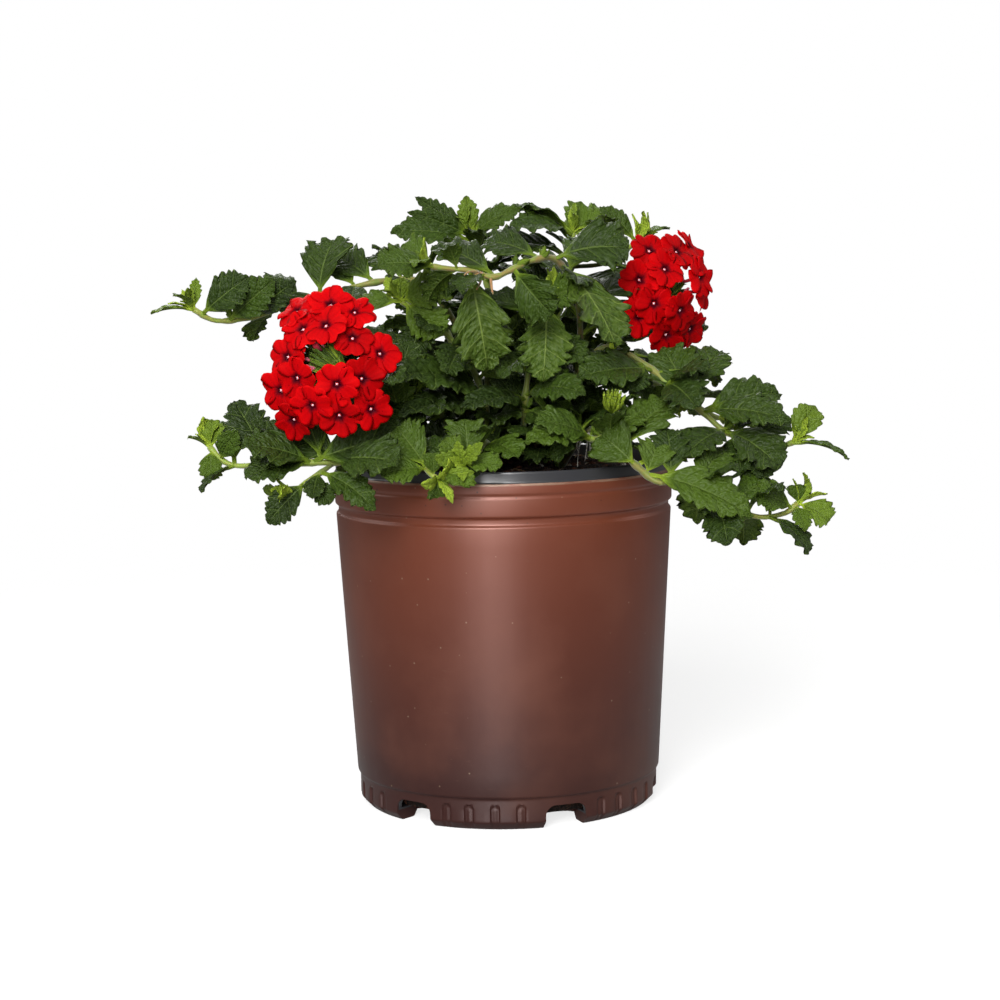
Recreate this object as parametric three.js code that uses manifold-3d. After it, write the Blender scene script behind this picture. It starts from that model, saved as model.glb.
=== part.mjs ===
// Verbena in its nursery pot: a moulded pot, the soil, leafy shoots and two red flower heads.
// Millimetres, +Z up, origin on the pot's axis at the level of the surface it stands on, front at -Y.
import * as THREE from 'three';
import { mergeVertices } from 'three/addons/utils/BufferGeometryUtils.js';
import Module from 'manifold-3d';

const wasm = await Module();
wasm.setup();

// ---- driving dimensions ----
const clear = 0.3; // air between neighbouring pieces
const pot = {
  height: 157.5, lipRadius: 76.2, lipWall: 2.1, edge: 1,
  collarRadius: 77, collarLean: 0.3, collarTop: 152, collarBottom: 138,
  grooveRadius: 75.2, grooveBottom: 133.4, bodyTopRadius: 76.3, bodyFootRadius: 69.4,
  footHeight: 14, footRadius: 68.3, footCorner: 3.5, wall: 1.7, floor: 5.5, floorRadius: 65.4, segments: 30,
  padRadius: 34, channelInner: 37, channelOuter: 54, ringInner: 57, channelHeight: 4,
};
const foot = {
  sections: 6, notchWidth: 19, notchHeight: 10.5, notchAngle: 21.5, archBend: 3, overrun: 3,
  fluteAngles: [-23.7, -15, -5.2, 4.4], fluteWidth: 4, fluteHeight: 11, fluteDepth: 0.9,
};
const soilSize = { edge: 147.5, mound: 3.5, relief: 0.9, rings: 3, segments: 16, holeClear: 0.4 };
const stemSize = { rootRadius: 1.6, tipRadius: 1.1, step: 17, sides: 4 };
const leafSize = {
  thickness: 0.8, petiole: 0.14, petioleWidth: 2, arch: 40, fold: 0.22, nodeReach: 6,
  shortLeaf: 15, longLeaf: 36, toothLean: [0.45, 0.72, 0.72], notch: 0.76,
};
const floret = { radius: 9.4, notch: 8.2, valley: 5.6, lobe: 20, thickness: 0.7, tubeRadius: 1 };
const head = {
  dome: 46, layerStep: 1.25, overlap: 17, stalkDepth: 23, ringOuter: 10.5, ringDepth: 13, ringThick: 3,
};
const heart = {
  radius: 5.2, length: 15, bristles: 9, hold: 0.55, droop: 0.12, bristleShare: 0.26, bristleTip: 0.4,
  profile: [[0, -1.6], [0.3, -1.5], [0.8, -1], [1, -0.55], [0.75, -0.18], [0, -0.1]], segments: 8,
};

// ---- small helpers ----
const rad = (degrees) => (degrees * Math.PI) / 180;
const goldenAngle = rad(137.5);
const noise = (i, j) => {
  const s = Math.sin(i * 12.9898 + j * 78.233) * 43758.5453;
  return s - Math.floor(s);
};
const vec = (x, y, z) => new THREE.Vector3(x, y, z);

function solid(geometry) {
  geometry.deleteAttribute('normal');
  geometry.deleteAttribute('uv');
  const merged = mergeVertices(geometry, 1e-4);
  return new wasm.Manifold(new wasm.Mesh({
    numProp: 3,
    vertProperties: new Float32Array(merged.attributes.position.array),
    triVerts: new Uint32Array(merged.index.array),
  }));
}

function polyhedron(points, faces) {
  const geometry = new THREE.BufferGeometry();
  const numbers = points.flatMap((p) => [p.x, p.y, p.z]);
  geometry.setAttribute('position', new THREE.Float32BufferAttribute(numbers, 3));
  geometry.setIndex(faces.flat());
  return solid(geometry);
}

function mesh(body, name, look) {
  const data = body.getMesh();
  const geometry = new THREE.BufferGeometry();
  geometry.setAttribute('position', new THREE.BufferAttribute(new Float32Array(data.vertProperties), 3));
  geometry.setIndex(new THREE.BufferAttribute(new Uint32Array(data.triVerts), 1));
  geometry.computeVertexNormals();
  const piece = new THREE.Mesh(geometry, new THREE.MeshStandardMaterial(look));
  piece.name = name;
  return piece;
}
const join = (bodies) => wasm.Manifold.union(bodies);

// ---- pot: one moulded shell with a grooved collar, rolled lip, fluted foot and drain notches ----
function potSolid() {
  const p = pot;
  const profile = [
    [0, 0], [p.padRadius, 0], [p.channelInner, p.channelHeight], [p.channelOuter, p.channelHeight],
    [p.ringInner, 0], [p.footRadius - p.footCorner, 0],
    [p.footRadius, p.footCorner], [p.footRadius, p.footHeight],
    [p.bodyFootRadius, p.footHeight + p.edge], [p.bodyTopRadius, p.grooveBottom],
    [p.grooveRadius, p.grooveBottom + p.edge], [p.grooveRadius, p.collarBottom - p.edge],
    [p.collarRadius - p.collarLean, p.collarBottom], [p.collarRadius, p.collarTop],
    [p.lipRadius, p.collarTop + p.edge / 2], [p.lipRadius, p.height - p.edge],
    [p.lipRadius - p.edge, p.height],
    [p.lipRadius - p.lipWall, p.height - p.edge], [p.grooveRadius - p.wall, p.grooveBottom],
    [p.floorRadius, p.floor], [0, p.floor],
  ];
  const lathe = new THREE.LatheGeometry(profile.map(([r, z]) => new THREE.Vector2(r, z)), p.segments);
  lathe.rotateX(Math.PI / 2);
  const cuts = [];
  for (let k = 0; k < foot.sections; k += 1) {
    const turn = k * (360 / foot.sections);
    cuts.push(archCut(foot.notchWidth, foot.notchHeight, p.ringInner - foot.overrun, foot.notchAngle + turn));
    for (const angle of foot.fluteAngles) {
      cuts.push(archCut(foot.fluteWidth, foot.fluteHeight, p.footRadius - foot.fluteDepth, angle + turn));
    }
  }
  return solid(lathe).subtract(join(cuts));
}

// An upright slot with an arched top, cut from radius inner out through the foot. The angle counts from -Y.
function archCut(width, height, inner, angle) {
  const half = width / 2;
  const bend = Math.min(half, foot.archBend);
  const outer = pot.bodyFootRadius + foot.overrun;
  const shape = new THREE.Shape();
  shape.moveTo(-half, -foot.overrun);
  shape.lineTo(half, -foot.overrun);
  shape.lineTo(half, height - bend);
  shape.lineTo(half - bend, height);
  if (half > bend) shape.lineTo(bend - half, height);
  shape.lineTo(-half, height - bend);
  const cut = new THREE.ExtrudeGeometry(shape, { depth: outer - inner, bevelEnabled: false });
  cut.rotateX(Math.PI / 2);
  cut.translate(0, -inner, 0);
  cut.rotateZ(rad(angle));
  return solid(cut);
}

// ---- soil: fills the pot to just under the lip, its top mounded and lumpy by a formula ----
function soilTop(x, y) {
  const r = Math.hypot(x, y) / pot.lipRadius;
  const lumps = Math.sin(x * 0.31 + 1.3) * Math.cos(y * 0.27 - 0.4) + 0.6 * Math.sin(x * 0.13 - y * 0.41);
  return soilSize.edge + soilSize.mound * (1 - r * r) + soilSize.relief * lumps * (1 - r ** 8);
}

function soilSolid() {
  const { rings, segments } = soilSize;
  const inset = Math.cos(Math.PI / pot.segments);
  const topRadius = (pot.grooveRadius - pot.wall) * inset - clear;
  const bottomRadius = pot.floorRadius * inset - clear;
  const points = [vec(0, 0, soilTop(0, 0)), vec(0, 0, pot.floor + clear)];
  const faces = [];
  const at = (ring, k) => 2 + ring * segments + (k % segments);
  for (let ring = 1; ring <= rings + 1; ring += 1) {
    const bottom = ring === rings + 1;
    const r = bottom ? bottomRadius : (topRadius * ring) / rings;
    for (let k = 0; k < segments; k += 1) {
      const a = (2 * Math.PI * k) / segments;
      const x = r * Math.cos(a);
      const y = r * Math.sin(a);
      points.push(vec(x, y, bottom ? pot.floor + clear : soilTop(x, y)));
    }
  }
  for (let k = 0; k < segments; k += 1) {
    faces.push([0, at(0, k), at(0, k + 1)], [1, at(rings, k + 1), at(rings, k)]);
    for (let ring = 0; ring < rings; ring += 1) {
      faces.push([at(ring, k), at(ring + 1, k), at(ring + 1, k + 1)]);
      faces.push([at(ring, k), at(ring + 1, k + 1), at(ring, k + 1)]);
    }
  }
  return polyhedron(points, faces);
}

// ---- stems: square in section, tapering from the root to the tip ----
function stemCurve(points) {
  return new THREE.CatmullRomCurve3(points.map(([x, y, z]) => vec(x, y, z)), false, 'catmullrom', 0.5);
}

const stemSteps = (curve) => Math.ceil(curve.getLength() / stemSize.step);

// A point on the middle line of the stem's straight-sided steps, along from 0 at its foot to 1 at its tip.
function onStem(curve, along) {
  const steps = stemSteps(curve);
  const i = Math.min(Math.floor(along * steps), steps - 1);
  return curve.getPointAt(i / steps).lerp(curve.getPointAt((i + 1) / steps), along * steps - i);
}

function stemSolid(curve, rootRadius, tipRadius, sides = stemSize.sides) {
  const steps = stemSteps(curve);
  const frames = curve.computeFrenetFrames(steps, false);
  const points = [];
  const faces = [];
  for (let i = 0; i <= steps; i += 1) {
    const centre = curve.getPointAt(i / steps);
    const radius = THREE.MathUtils.lerp(rootRadius, tipRadius, i / steps);
    for (let k = 0; k < sides; k += 1) {
      const a = (2 * Math.PI * k) / sides;
      points.push(centre.clone().addScaledVector(frames.normals[i], radius * Math.cos(a))
        .addScaledVector(frames.binormals[i], radius * Math.sin(a)));
    }
  }
  const at = (i, k) => i * sides + (k % sides);
  for (let i = 0; i < steps; i += 1) {
    for (let k = 0; k < sides; k += 1) {
      faces.push([at(i, k), at(i, k + 1), at(i + 1, k + 1)], [at(i, k), at(i + 1, k + 1), at(i + 1, k)]);
    }
  }
  for (let k = 1; k < sides - 1; k += 1) {
    faces.push([at(0, 0), at(0, k + 1), at(0, k)], [at(steps, 0), at(steps, k), at(steps, k + 1)]);
  }
  return polyhedron(points, faces);
}

// ---- leaves: arched, folded along the midrib, with forward-pointing teeth ----
// heading turns from +X towards +Y, rise lifts the tip, roll turns the blade about its own axis.
function leafFrame(heading, rise, roll) {
  const h = rad(heading);
  const e = rad(rise);
  const c = Math.cos(rad(roll));
  const s = Math.sin(rad(roll));
  const along = vec(Math.cos(e) * Math.cos(h), Math.cos(e) * Math.sin(h), Math.sin(e));
  const side = vec(-Math.sin(h), Math.cos(h), 0);
  const up = vec(0, 0, 0).crossVectors(along, side);
  return {
    along,
    side: side.clone().multiplyScalar(c).addScaledVector(up, s),
    up: up.clone().multiplyScalar(c).addScaledVector(side, -s),
  };
}

// Half the blade's width at v, 0 at the base and 1 at the tip, as a share of its greatest half width.
function bladeShape(v) {
  const u = Math.max(0, (v - leafSize.petiole) / (1 - leafSize.petiole));
  return Math.sin(Math.PI * Math.min(1, u) ** 0.62) ** 0.85;
}

function leafSolid(base, [heading, rise, length, width, roll], grow = 0) {
  const frame = leafFrame(heading, rise, roll);
  const arch = rad(leafSize.arch);
  const half = (leafSize.thickness + grow) / 2;
  const points = [];
  const put = (v, y) => {
    const slope = arch * (0.5 - v);
    for (const face of [half, -half]) {
      const x = (length * (Math.sin(arch / 2) - Math.sin(slope))) / arch - face * Math.sin(slope);
      const z = (length * (Math.cos(slope) - Math.cos(arch / 2))) / arch + face * Math.cos(slope)
        + leafSize.fold * Math.abs(y);
      points.push(base.clone().addScaledVector(frame.along, x).addScaledVector(frame.side, y)
        .addScaledVector(frame.up, z));
    }
    return points.length - 2;
  };
  const faces = [];
  const skin = (a, b, c) => faces.push([a, b, c], [a + 1, c + 1, b + 1]);
  const edge = (a, b) => faces.push([a, a + 1, b + 1], [a, b + 1, b]);
  const p = leafSize.petiole;
  const teeth = 1 + (length > leafSize.shortLeaf) + (length > leafSize.longLeaf);
  const lean = leafSize.toothLean[teeth - 1];
  const root = put(0, 0);
  const stalk = (leafSize.petioleWidth + grow) / 2;
  let [left, right] = [put(p, stalk), put(p, -stalk)];
  skin(root, right, left);
  edge(left, root);
  edge(root, right);
  let rib = null;
  for (let k = 0; k < teeth; k += 1) {
    const tooth = p + ((1 - p) * (k + lean)) / teeth;
    const notch = p + ((1 - p) * (k + 1)) / teeth;
    const toothHalf = (width / 2) * Math.max(bladeShape(tooth - 0.1), 0.3) + grow / 2;
    const notchHalf = (width / 2) * leafSize.notch * bladeShape(notch) + grow / 2;
    const [leftTooth, rightTooth] = [put(tooth, toothHalf), put(tooth, -toothHalf)];
    const last = k === teeth - 1;
    const nextRib = put(notch, 0);
    const [nextLeft, nextRight] = last ? [nextRib, nextRib] : [put(notch, notchHalf), put(notch, -notchHalf)];
    if (rib === null) {
      skin(left, right, nextRib);
    } else {
      skin(rib, nextRib, left);
      skin(rib, right, nextRib);
    }
    skin(left, nextRib, leftTooth);
    skin(right, rightTooth, nextRib);
    if (!last) {
      skin(nextRib, nextLeft, leftTooth);
      skin(nextRib, rightTooth, nextRight);
    }
    edge(leftTooth, left);
    edge(nextLeft, leftTooth);
    edge(right, rightTooth);
    edge(rightTooth, nextRight);
    [left, right, rib] = [nextLeft, nextRight, nextRib];
  }
  return polyhedron(points, faces);
}

// ---- flower heads: florets on a low dome round a green, bristly heart ----
// A floret is a thin five-petalled plate, each petal notched at its end, that follows the dome of the head.
// x and y lie across the head, and layer lifts the plate clear of the ones it overlaps.
function floretSolid({ top, axis, side, up }, x, y, layer, spin) {
  const tilt = Math.cos(Math.atan(Math.hypot(x, y) / head.dome));
  const turn = Math.atan2(y, x);
  const points = [];
  const put = (radius, angle) => {
    const out = radius * Math.cos(angle - turn) * tilt;
    const round = radius * Math.sin(angle - turn);
    const px = x + out * Math.cos(turn) - round * Math.sin(turn);
    const py = y + out * Math.sin(turn) + round * Math.cos(turn);
    for (const face of [0.5, -0.5]) {
      points.push(top.clone().addScaledVector(side, px).addScaledVector(up, py)
        .addScaledVector(axis, domeHeight(px, py) + layer + face * floret.thickness));
    }
  };
  for (let petal = 0; petal < 5; petal += 1) {
    const a = spin + (petal * 2 * Math.PI) / 5;
    put(floret.valley, a - Math.PI / 5);
    put(floret.radius, a - rad(floret.lobe));
    put(floret.notch, a);
    put(floret.radius, a + rad(floret.lobe));
  }
  const faces = [];
  const rim = 20;
  const skin = (a, b, c) => faces.push([2 * a, 2 * b, 2 * c], [2 * a + 1, 2 * c + 1, 2 * b + 1]);
  for (let k = 0; k < rim; k += 1) {
    const a = 2 * k;
    const b = 2 * ((k + 1) % rim);
    faces.push([a, a + 1, b + 1], [a, b + 1, b]);
  }
  for (let k = 0; k < rim; k += 4) {
    const next = (k + 4) % rim;
    skin(k, k + 1, k + 2);
    skin(k, k + 2, next);
    skin(k + 2, k + 3, next);
  }
  for (let k = 4; k < 16; k += 4) skin(0, k, k + 4);
  return polyhedron(points, faces);
}

function headFrame({ at, heading, rise }) {
  const { along, side, up } = leafFrame(heading, rise, 0);
  return { top: vec(...at), axis: along, side, up };
}

function floretSolids(bloom, seed) {
  const { top, axis, side, up } = headFrame(bloom);
  const { ringOuter, ringThick } = head;
  const ringInner = heartRadius(head.ringDepth - ringThick / 2) + clear / Math.cos(Math.PI / heart.segments);
  const section = [
    [ringInner, 0], [ringOuter, 0], [ringOuter, ringThick], [ringInner, ringThick], [ringInner, 0],
  ];
  const ring = new THREE.LatheGeometry(section.map(([r, z]) => new THREE.Vector2(r, z)), heart.segments);
  const toAxis = new THREE.Quaternion().setFromUnitVectors(vec(0, 1, 0), axis);
  ring.applyQuaternion(toAxis);
  const base = top.clone().addScaledVector(axis, -head.ringDepth - ringThick / 2);
  ring.translate(base.x, base.y, base.z);
  const bodies = [solid(ring)];
  layered(bloom.florets).forEach(({ x, y, layer }, k) => {
    const r = Math.hypot(x, y);
    bodies.push(floretSolid({ top, axis, side, up }, x, y, layer, 2 * Math.PI * noise(k, seed)));
    const out = side.clone().multiplyScalar(x / r).addScaledVector(up, y / r);
    const root = top.clone().addScaledVector(out, (ringInner + ringOuter) / 2)
      .addScaledVector(axis, -head.ringDepth);
    const seat = top.clone().addScaledVector(out, r).addScaledVector(axis, domeHeight(x, y) + layer);
    bodies.push(rodSolid(root, seat, floret.tubeRadius));
  });
  return bodies;
}

// The outermost florets lie lowest: each one takes the lowest layer that no floret it overlaps has taken.
function layered(places) {
  const done = [];
  const outerFirst = places.toSorted(([x1, y1], [x2, y2]) => Math.hypot(x2, y2) - Math.hypot(x1, y1));
  for (const [x, y] of outerFirst) {
    const used = done.filter((other) => Math.hypot(other.x - x, other.y - y) < head.overlap)
      .map((other) => other.layer);
    let layer = 0;
    while (used.includes(layer * head.layerStep)) layer += 1;
    done.push({ x, y, layer: layer * head.layerStep });
  }
  return done;
}

// Height of the dome that the florets follow, along the head's axis from its top.
function domeHeight(x, y) {
  return -(x * x + y * y) / (2 * head.dome);
}

function rodSolid(from, to, radius, tip = radius) {
  return stemSolid(new THREE.LineCurve3(from, to), radius, tip, 3);
}

// Radius of a flower head's heart at a depth under its top, between its depths of 1 and 0.55 lengths.
function heartRadius(depth) {
  const [low, high] = [heart.profile[2], heart.profile[3]];
  const share = (depth / heart.length + low[1]) / (low[1] - high[1]);
  return heart.radius * THREE.MathUtils.lerp(low[0], high[0], share);
}

// The green heart of a flower head, or a closed head of buds: a spindle bristling with calyx tips.
function heartSolids({ at, heading, rise, radius, length, bristles }) {
  const { top, axis, side, up } = headFrame({ at, heading, rise });
  const profile = heart.profile.map(([r, z]) => new THREE.Vector2(r * radius, z * length));
  const spindle = new THREE.LatheGeometry(profile, heart.segments);
  spindle.applyQuaternion(new THREE.Quaternion().setFromUnitVectors(vec(0, 1, 0), axis));
  spindle.translate(top.x, top.y, top.z);
  const bodies = [solid(spindle)];
  for (let k = 0; k < bristles; k += 1) {
    const turn = k * goldenAngle;
    const spread = Math.sqrt((k + 0.5) / bristles);
    const out = side.clone().multiplyScalar(Math.cos(turn)).addScaledVector(up, Math.sin(turn));
    const root = top.clone().addScaledVector(out, radius * heart.hold * spread)
      .addScaledVector(axis, -length / 2);
    const tip = top.clone().addScaledVector(out, radius * spread)
      .addScaledVector(axis, -length * heart.droop * spread);
    bodies.push(rodSolid(root, tip, radius * heart.bristleShare, heart.bristleTip));
  }
  return bodies;
}

// ---- the shoots: where each stem runs, and the leaves along it ----
// points: the stem's route from its foot in the soil. leaves: [place along the stem from 0 to 1, heading,
// rise, length, width, roll]. branches start inside the first stem. bloom and buds sit on its end. florets:
// where each floret of a bloom lies, across and up the head.
const shoots = {
  left_runner: {
    points: [
      [-12, 6, 139], [-14, 7, 152], [-18, 2, 208], [-28, -4, 229], [-40, -8, 238], [-57, -12, 237],
      [-74, -16, 233], [-93, -22, 228], [-110, -28, 223], [-125, -32, 222], [-134, -35, 227],
    ],
    leaves: [
      [1.00, -170, -5, 19, 10, 0], [1.00, 75, 70, 15, 6, 15], [1.00, -130, 30, 14, 8, 0],
      [0.98, -15, 35, 28, 18, 85], [0.92, -35, 35, 30, 17, 100], [0.87, -30, 35, 29, 14, 95],
      [0.72, 55, 70, 27, 28, 5], [0.72, -130, -20, 23, 19, -25], [0.60, 145, 25, 27, 20, -35],
      [0.52, 130, 25, 29, 19, -30], [0.32, -125, -15, 31, 26, -50], [0.22, -110, -5, 35, 24, -20],
    ],
  },
  top_runner: {
    points: [
      [9, -2, 139], [11, -3, 152], [32, -14, 194], [35, -26, 219], [31, -36, 236], [24, -46, 246],
      [15, -54, 246], [5, -58, 242], [-3, -61, 239], [-13, -62, 242], [-22, -64, 243], [-29, -65, 244],
    ],
    leaves: [
      [0.65, -55, -45, 50, 30, 0], [0.68, -10, 10, 33, 30, 45], [0.73, 160, 15, 27, 22, -30],
      [0.80, -25, -45, 27, 23, 95], [0.85, 155, 25, 32, 22, -30], [0.91, 15, -80, 44, 27, 100],
      [1.00, 150, 30, 17, 17, -40], [0.99, -160, 0, 26, 19, -45],
      [1.00, -120, 5, 16, 10, 0],
    ],
  },
  top_left: {
    points: [
      [-4, 14, 139], [-5, 15, 152], [-7, 18, 186], [-3, 22, 214], [-7, 22, 239], [-13, 18, 257],
    ],
    leaves: [
      [1.00, 165, 35, 33, 10, -70], [1.00, -170, 25, 32, 10, -80], [1.00, 180, 85, 19, 10, -90],
      [1.00, -15, 30, 27, 14, 55], [0.98, -160, 5, 40, 18, -45],
      [0.81, -55, 35, 32, 19, 30], [0.75, -125, 10, 31, 22, -35], [0.55, -45, 40, 27, 24, -70],
      [0.46, -135, 40, 28, 26, 70],
    ],
  },
  top_right: {
    points: [
      [6, 15, 139], [8, 17, 152], [15, 26, 188], [26, 30, 218], [33, 28, 243], [34, 24, 258],
    ],
    leaves: [
      [1.00, -175, 25, 32, 17, 0], [1.00, 20, 30, 21, 17, 40], [0.99, -140, 5, 39, 19, -25],
      [0.97, 45, 65, 20, 15, 45], [0.82, -135, 10, 35, 19, -25], [0.67, -40, 0, 25, 24, 75],
      [0.53, -130, 5, 24, 24, -75], [0.38, -35, 10, 29, 26, 80],
    ],
    branches: [{
      along: 0.87, points: [[49, 26, 244], [63, 22, 253]],
      leaves: [
        [1.00, 175, 45, 24, 11, -50], [1.00, 25, 20, 20, 11, 0],
      ],
    }],
  },
  right_bloom: {
    points: [
      [16, 4, 139], [18, 4, 152], [26, 4, 182], [40, 2, 199], [55, 0, 212], [65, 2, 222],
    ],
    leaves: [
      [0.80, 22, 0, 44, 24, 20], [0.73, -50, 15, 28, 17, 40], [0.60, -45, -10, 26, 22, 30],
      [0.40, -45, -10, 29, 24, 65],
    ],
    bloom: {
      at: [79, -22, 232], heading: -50, rise: 6,
      florets: [
        [-11, 18], [-9, 9], [-20, 5], [-15, -6], [-2, -10], [-5, -20], [9, -18], [2, 17], [11, 14], [13, 5],
        [20, -1], [17, 20], [-20, -11],
      ],
    },
  },
  right_shoot: {
    points: [
      [18, -8, 139], [21, -9, 152], [31, -28, 191], [40, -32, 204], [49, -33, 207], [65, -36, 198],
      [78, -39, 185], [86, -41, 180], [97, -43, 170], [107, -44, 166], [116, -45, 162], [126, -46, 165],
    ],
    leaves: [
      [0.59, -145, -5, 40, 23, -40], [0.73, 130, 50, 33, 25, -40], [0.75, 10, 15, 37, 19, 45],
      [0.75, -30, -5, 42, 19, 40], [0.89, 25, 25, 22, 15, 40],
      [0.82, -40, -25, 34, 25, 30], [0.82, -120, -15, 39, 20, -20], [0.94, -120, -20, 27, 15, -25],
      [1.00, 10, 60, 19, 14, 70], [1.00, -10, -15, 26, 11, 0], [0.41, -55, -25, 28, 22, 25],
    ],
  },
  lower_right: {
    points: [
      [20, -20, 139], [24, -24, 151], [38, -46, 172], [49, -62, 165], [57, -72, 158], [65, -78, 152],
      [75, -76, 152], [92, -74, 143], [107, -72, 136], [119, -71, 137], [125, -70, 141],
    ],
    leaves: [
      [0.51, 160, 40, 20, 22, -65], [0.51, 30, 20, 39, 19, 40], [0.55, 40, 50, 14, 18, 50],
      [0.55, -20, -20, 50, 22, 40], [0.98, -155, 25, 21, 17, -55],
      [1.00, 180, 85, 8, 9, -85], [1.00, -25, -25, 16, 15, 40], [0.99, -75, -35, 16, 9, 10],
    ],
  },
  lower_left: {
    points: [
      [-20, -18, 139], [-24, -22, 151], [-38, -46, 170], [-54, -64, 166], [-67, -76, 163], [-80, -80, 163],
      [-99, -80, 163], [-111, -78, 162], [-118, -76, 164], [-124, -74, 170],
    ],
    leaves: [
      [1.00, -165, 25, 10, 9, 0], [0.99, 70, 75, 13, 11, 20], [0.99, -95, -65, 14, 11, -5],
      [0.95, -50, 50, 18, 11, 125], [0.81, 135, 50, 33, 19, -30], [0.72, 180, 45, 28, 13, -55],
      [0.69, -150, 15, 33, 22, -45], [0.69, -155, -10, 30, 19, -40], [0.62, -40, 0, 34, 25, 40],
    ],
    branches: [{
      along: 0.61, points: [[-78, -84, 158], [-87, -87, 152]],
      leaves: [
        [0.75, -165, -40, 24, 14, -70], [0.49, -100, -35, 16, 10, -5], [0.44, -30, -25, 32, 15, 35],
        [0.75, -30, -25, 15, 11, 35],
      ],
    }],
  },
  left_bloom: {
    points: [
      [-18, -6, 139], [-20, -7, 152], [-28, -36, 181], [-43, -54, 192], [-55, -66, 200], [-66, -74, 204],
    ],
    leaves: [
      [0.72, 40, 65, 21, 15, 50], [0.72, 110, 35, 33, 17, -15], [0.48, -120, -10, 48, 19, -25],
      [0.87, -60, -15, 34, 17, 25],
    ],
    bloom: {
      at: [-71, -97, 207], heading: -95, rise: 12,
      florets: [
        [4, -11], [14, -8], [-7, -19], [4, -23], [17, -20], [21, 3], [10, 9], [-13, -8], [-21, -12], [-18, 2],
        [0, 24], [-1, 14], [-11, 13], [10, 21], [-16, -24], [-15, 22],
      ],
    },
  },
  front: {
    points: [
      [-4, -22, 139], [-5, -26, 151], [-7, -52, 168], [-11, -66, 164], [-16, -76, 162], [-17, -82, 161],
    ],
    leaves: [
      [0.52, -60, -5, 28, 18, 25], [0.89, 85, 65, 18, 19, 5], [0.97, 180, 55, 13, 13, -60],
      [0.99, -25, 0, 18, 13, 40], [1.00, -100, -35, 13, 14, -10],
    ],
    branches: [{
      along: 0.7, points: [[-23, -74, 162], [-32, -81, 160], [-28, -87, 156]],
      leaves: [
        [0.80, 165, 50, 22, 20, -50], [0.99, -60, -70, 8, 11, 25], [0.94, -80, 75, 10, 10, 170],
        [0.80, -145, -5, 22, 17, -40],
      ],
    }],
  },
  inner_left: {
    points: [
      [-6, -10, 139], [-7, -12, 152], [-8, -24, 185], [-18, -28, 207], [-32, -32, 221], [-43, -36, 229],
    ],
    leaves: [
      [1.00, -25, 20, 21, 18, 85], [0.99, -30, -40, 24, 19, 60], [1.00, -175, 85, 10, 9, -95],
      [1.00, 165, -10, 25, 17, -45], [0.87, -115, -35, 23, 17, -30], [0.68, -120, 0, 38, 19, -25],
      [0.46, -135, 10, 64, 25, -40], [0.40, -125, 0, 65, 19, -30], [0.54, -50, 30, 22, 20, -75],
      [0.43, -125, 30, 29, 22, 75],
    ],
  },
  inner_right: {
    points: [
      [6, -12, 139], [8, -15, 152], [10, -34, 183], [13, -34, 205], [17, -34, 221], [20, -36, 228],
    ],
    leaves: [
      [1.00, -90, -60, 40, 25, 0], [1.00, -45, 15, 21, 17, 85], [0.75, -45, 5, 30, 20, 35],
      [0.73, -120, -10, 32, 18, -20], [0.56, -50, 5, 43, 19, 35], [0.54, -125, -5, 45, 17, -30],
      [0.48, -55, -15, 32, 22, 25],
    ],
  },
  front_right: {
    points: [
      [9, -22, 139], [11, -26, 151], [25, -44, 172], [38, -56, 169], [44, -62, 171], [49, -64, 178],
      [48, -64, 183],
    ],
    leaves: [
      [0.73, -140, 15, 32, 19, -45], [0.73, -140, 0, 36, 17, -35], [0.52, -130, 15, 25, 17, -40],
      [0.80, 5, 30, 21, 18, 45],
    ],
    buds: { at: [48, -67, 189], heading: -80, rise: 55, radius: 4.6, length: 7, bristles: 9 },
  },
};

// The shoots of the far side: a plane route of [reach from the pot's axis, height over the rim] at one
// heading, with leaves spread to either side of it, [along, turn from the heading, length].
const farRoots = [[21, -19], [23, -5]];
const sprawling = ({ heading, reach, rise }) => ({
  heading,
  route: [...farRoots, [0.3 * reach, 0.6 * rise], [0.52 * reach, rise], [0.78 * reach, 0.72 * rise],
    [reach, 0.35 * rise]],
  leaves: [[0.45, 60, 38], [0.6, -60, 38], [0.75, 50, 32], [0.85, -45, 30], [1, 10, 25]],
});
const upright = ({ heading, reach, rise }) => ({
  heading,
  route: [[27, -19], [28, -5], [28 + 0.2 * (reach - 28), 0.4 * rise], [28 + 0.55 * (reach - 28), 0.8 * rise],
    [reach, rise]],
  leaves: [[0.45, 60, 36], [0.62, -75, 34], [0.76, 40, 32], [0.88, -60, 32], [1, 10, 28]],
});
const farShoots = {
  far_1: sprawling({ heading: 20, reach: 108, rise: 36 }),
  far_2: sprawling({ heading: 46, reach: 116, rise: 46 }),
  far_3: sprawling({ heading: 90, reach: 120, rise: 50 }),
  far_4: sprawling({ heading: 126, reach: 114, rise: 46 }),
  far_5: sprawling({ heading: 154, reach: 106, rise: 36 }),
  tall_1: upright({ heading: 122, reach: 64, rise: 70 }),
  tall_2: upright({ heading: 58, reach: 62, rise: 66 }),
};
const leafVary = { turn: 16, rise: 20, droop: 30, lift: 4, size: 0.2, width: 0.68, roll: 12 };
Object.entries(farShoots).forEach(([name, { heading, route, leaves }], seed) => {
  const c = Math.cos(rad(heading));
  const s = Math.sin(rad(heading));
  shoots[name] = {
    points: route.map(([r, z]) => [r * c, r * s, pot.height + z]),
    leaves: leaves.map(([along, spread, length], i) => {
      const turn = heading + spread + leafVary.turn * (noise(i, seed) - 0.5);
      const droop = leafVary.droop * (along - 0.5);
      const lift = leafVary.lift - droop + leafVary.rise * (noise(i, seed + 9) - 0.5);
      const size = length * (1 + leafVary.size * (noise(i, seed + 5) - 0.5));
      return [along, turn, lift, size, size * leafVary.width, Math.sign(spread) * leafVary.roll];
    }),
  };
});

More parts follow.
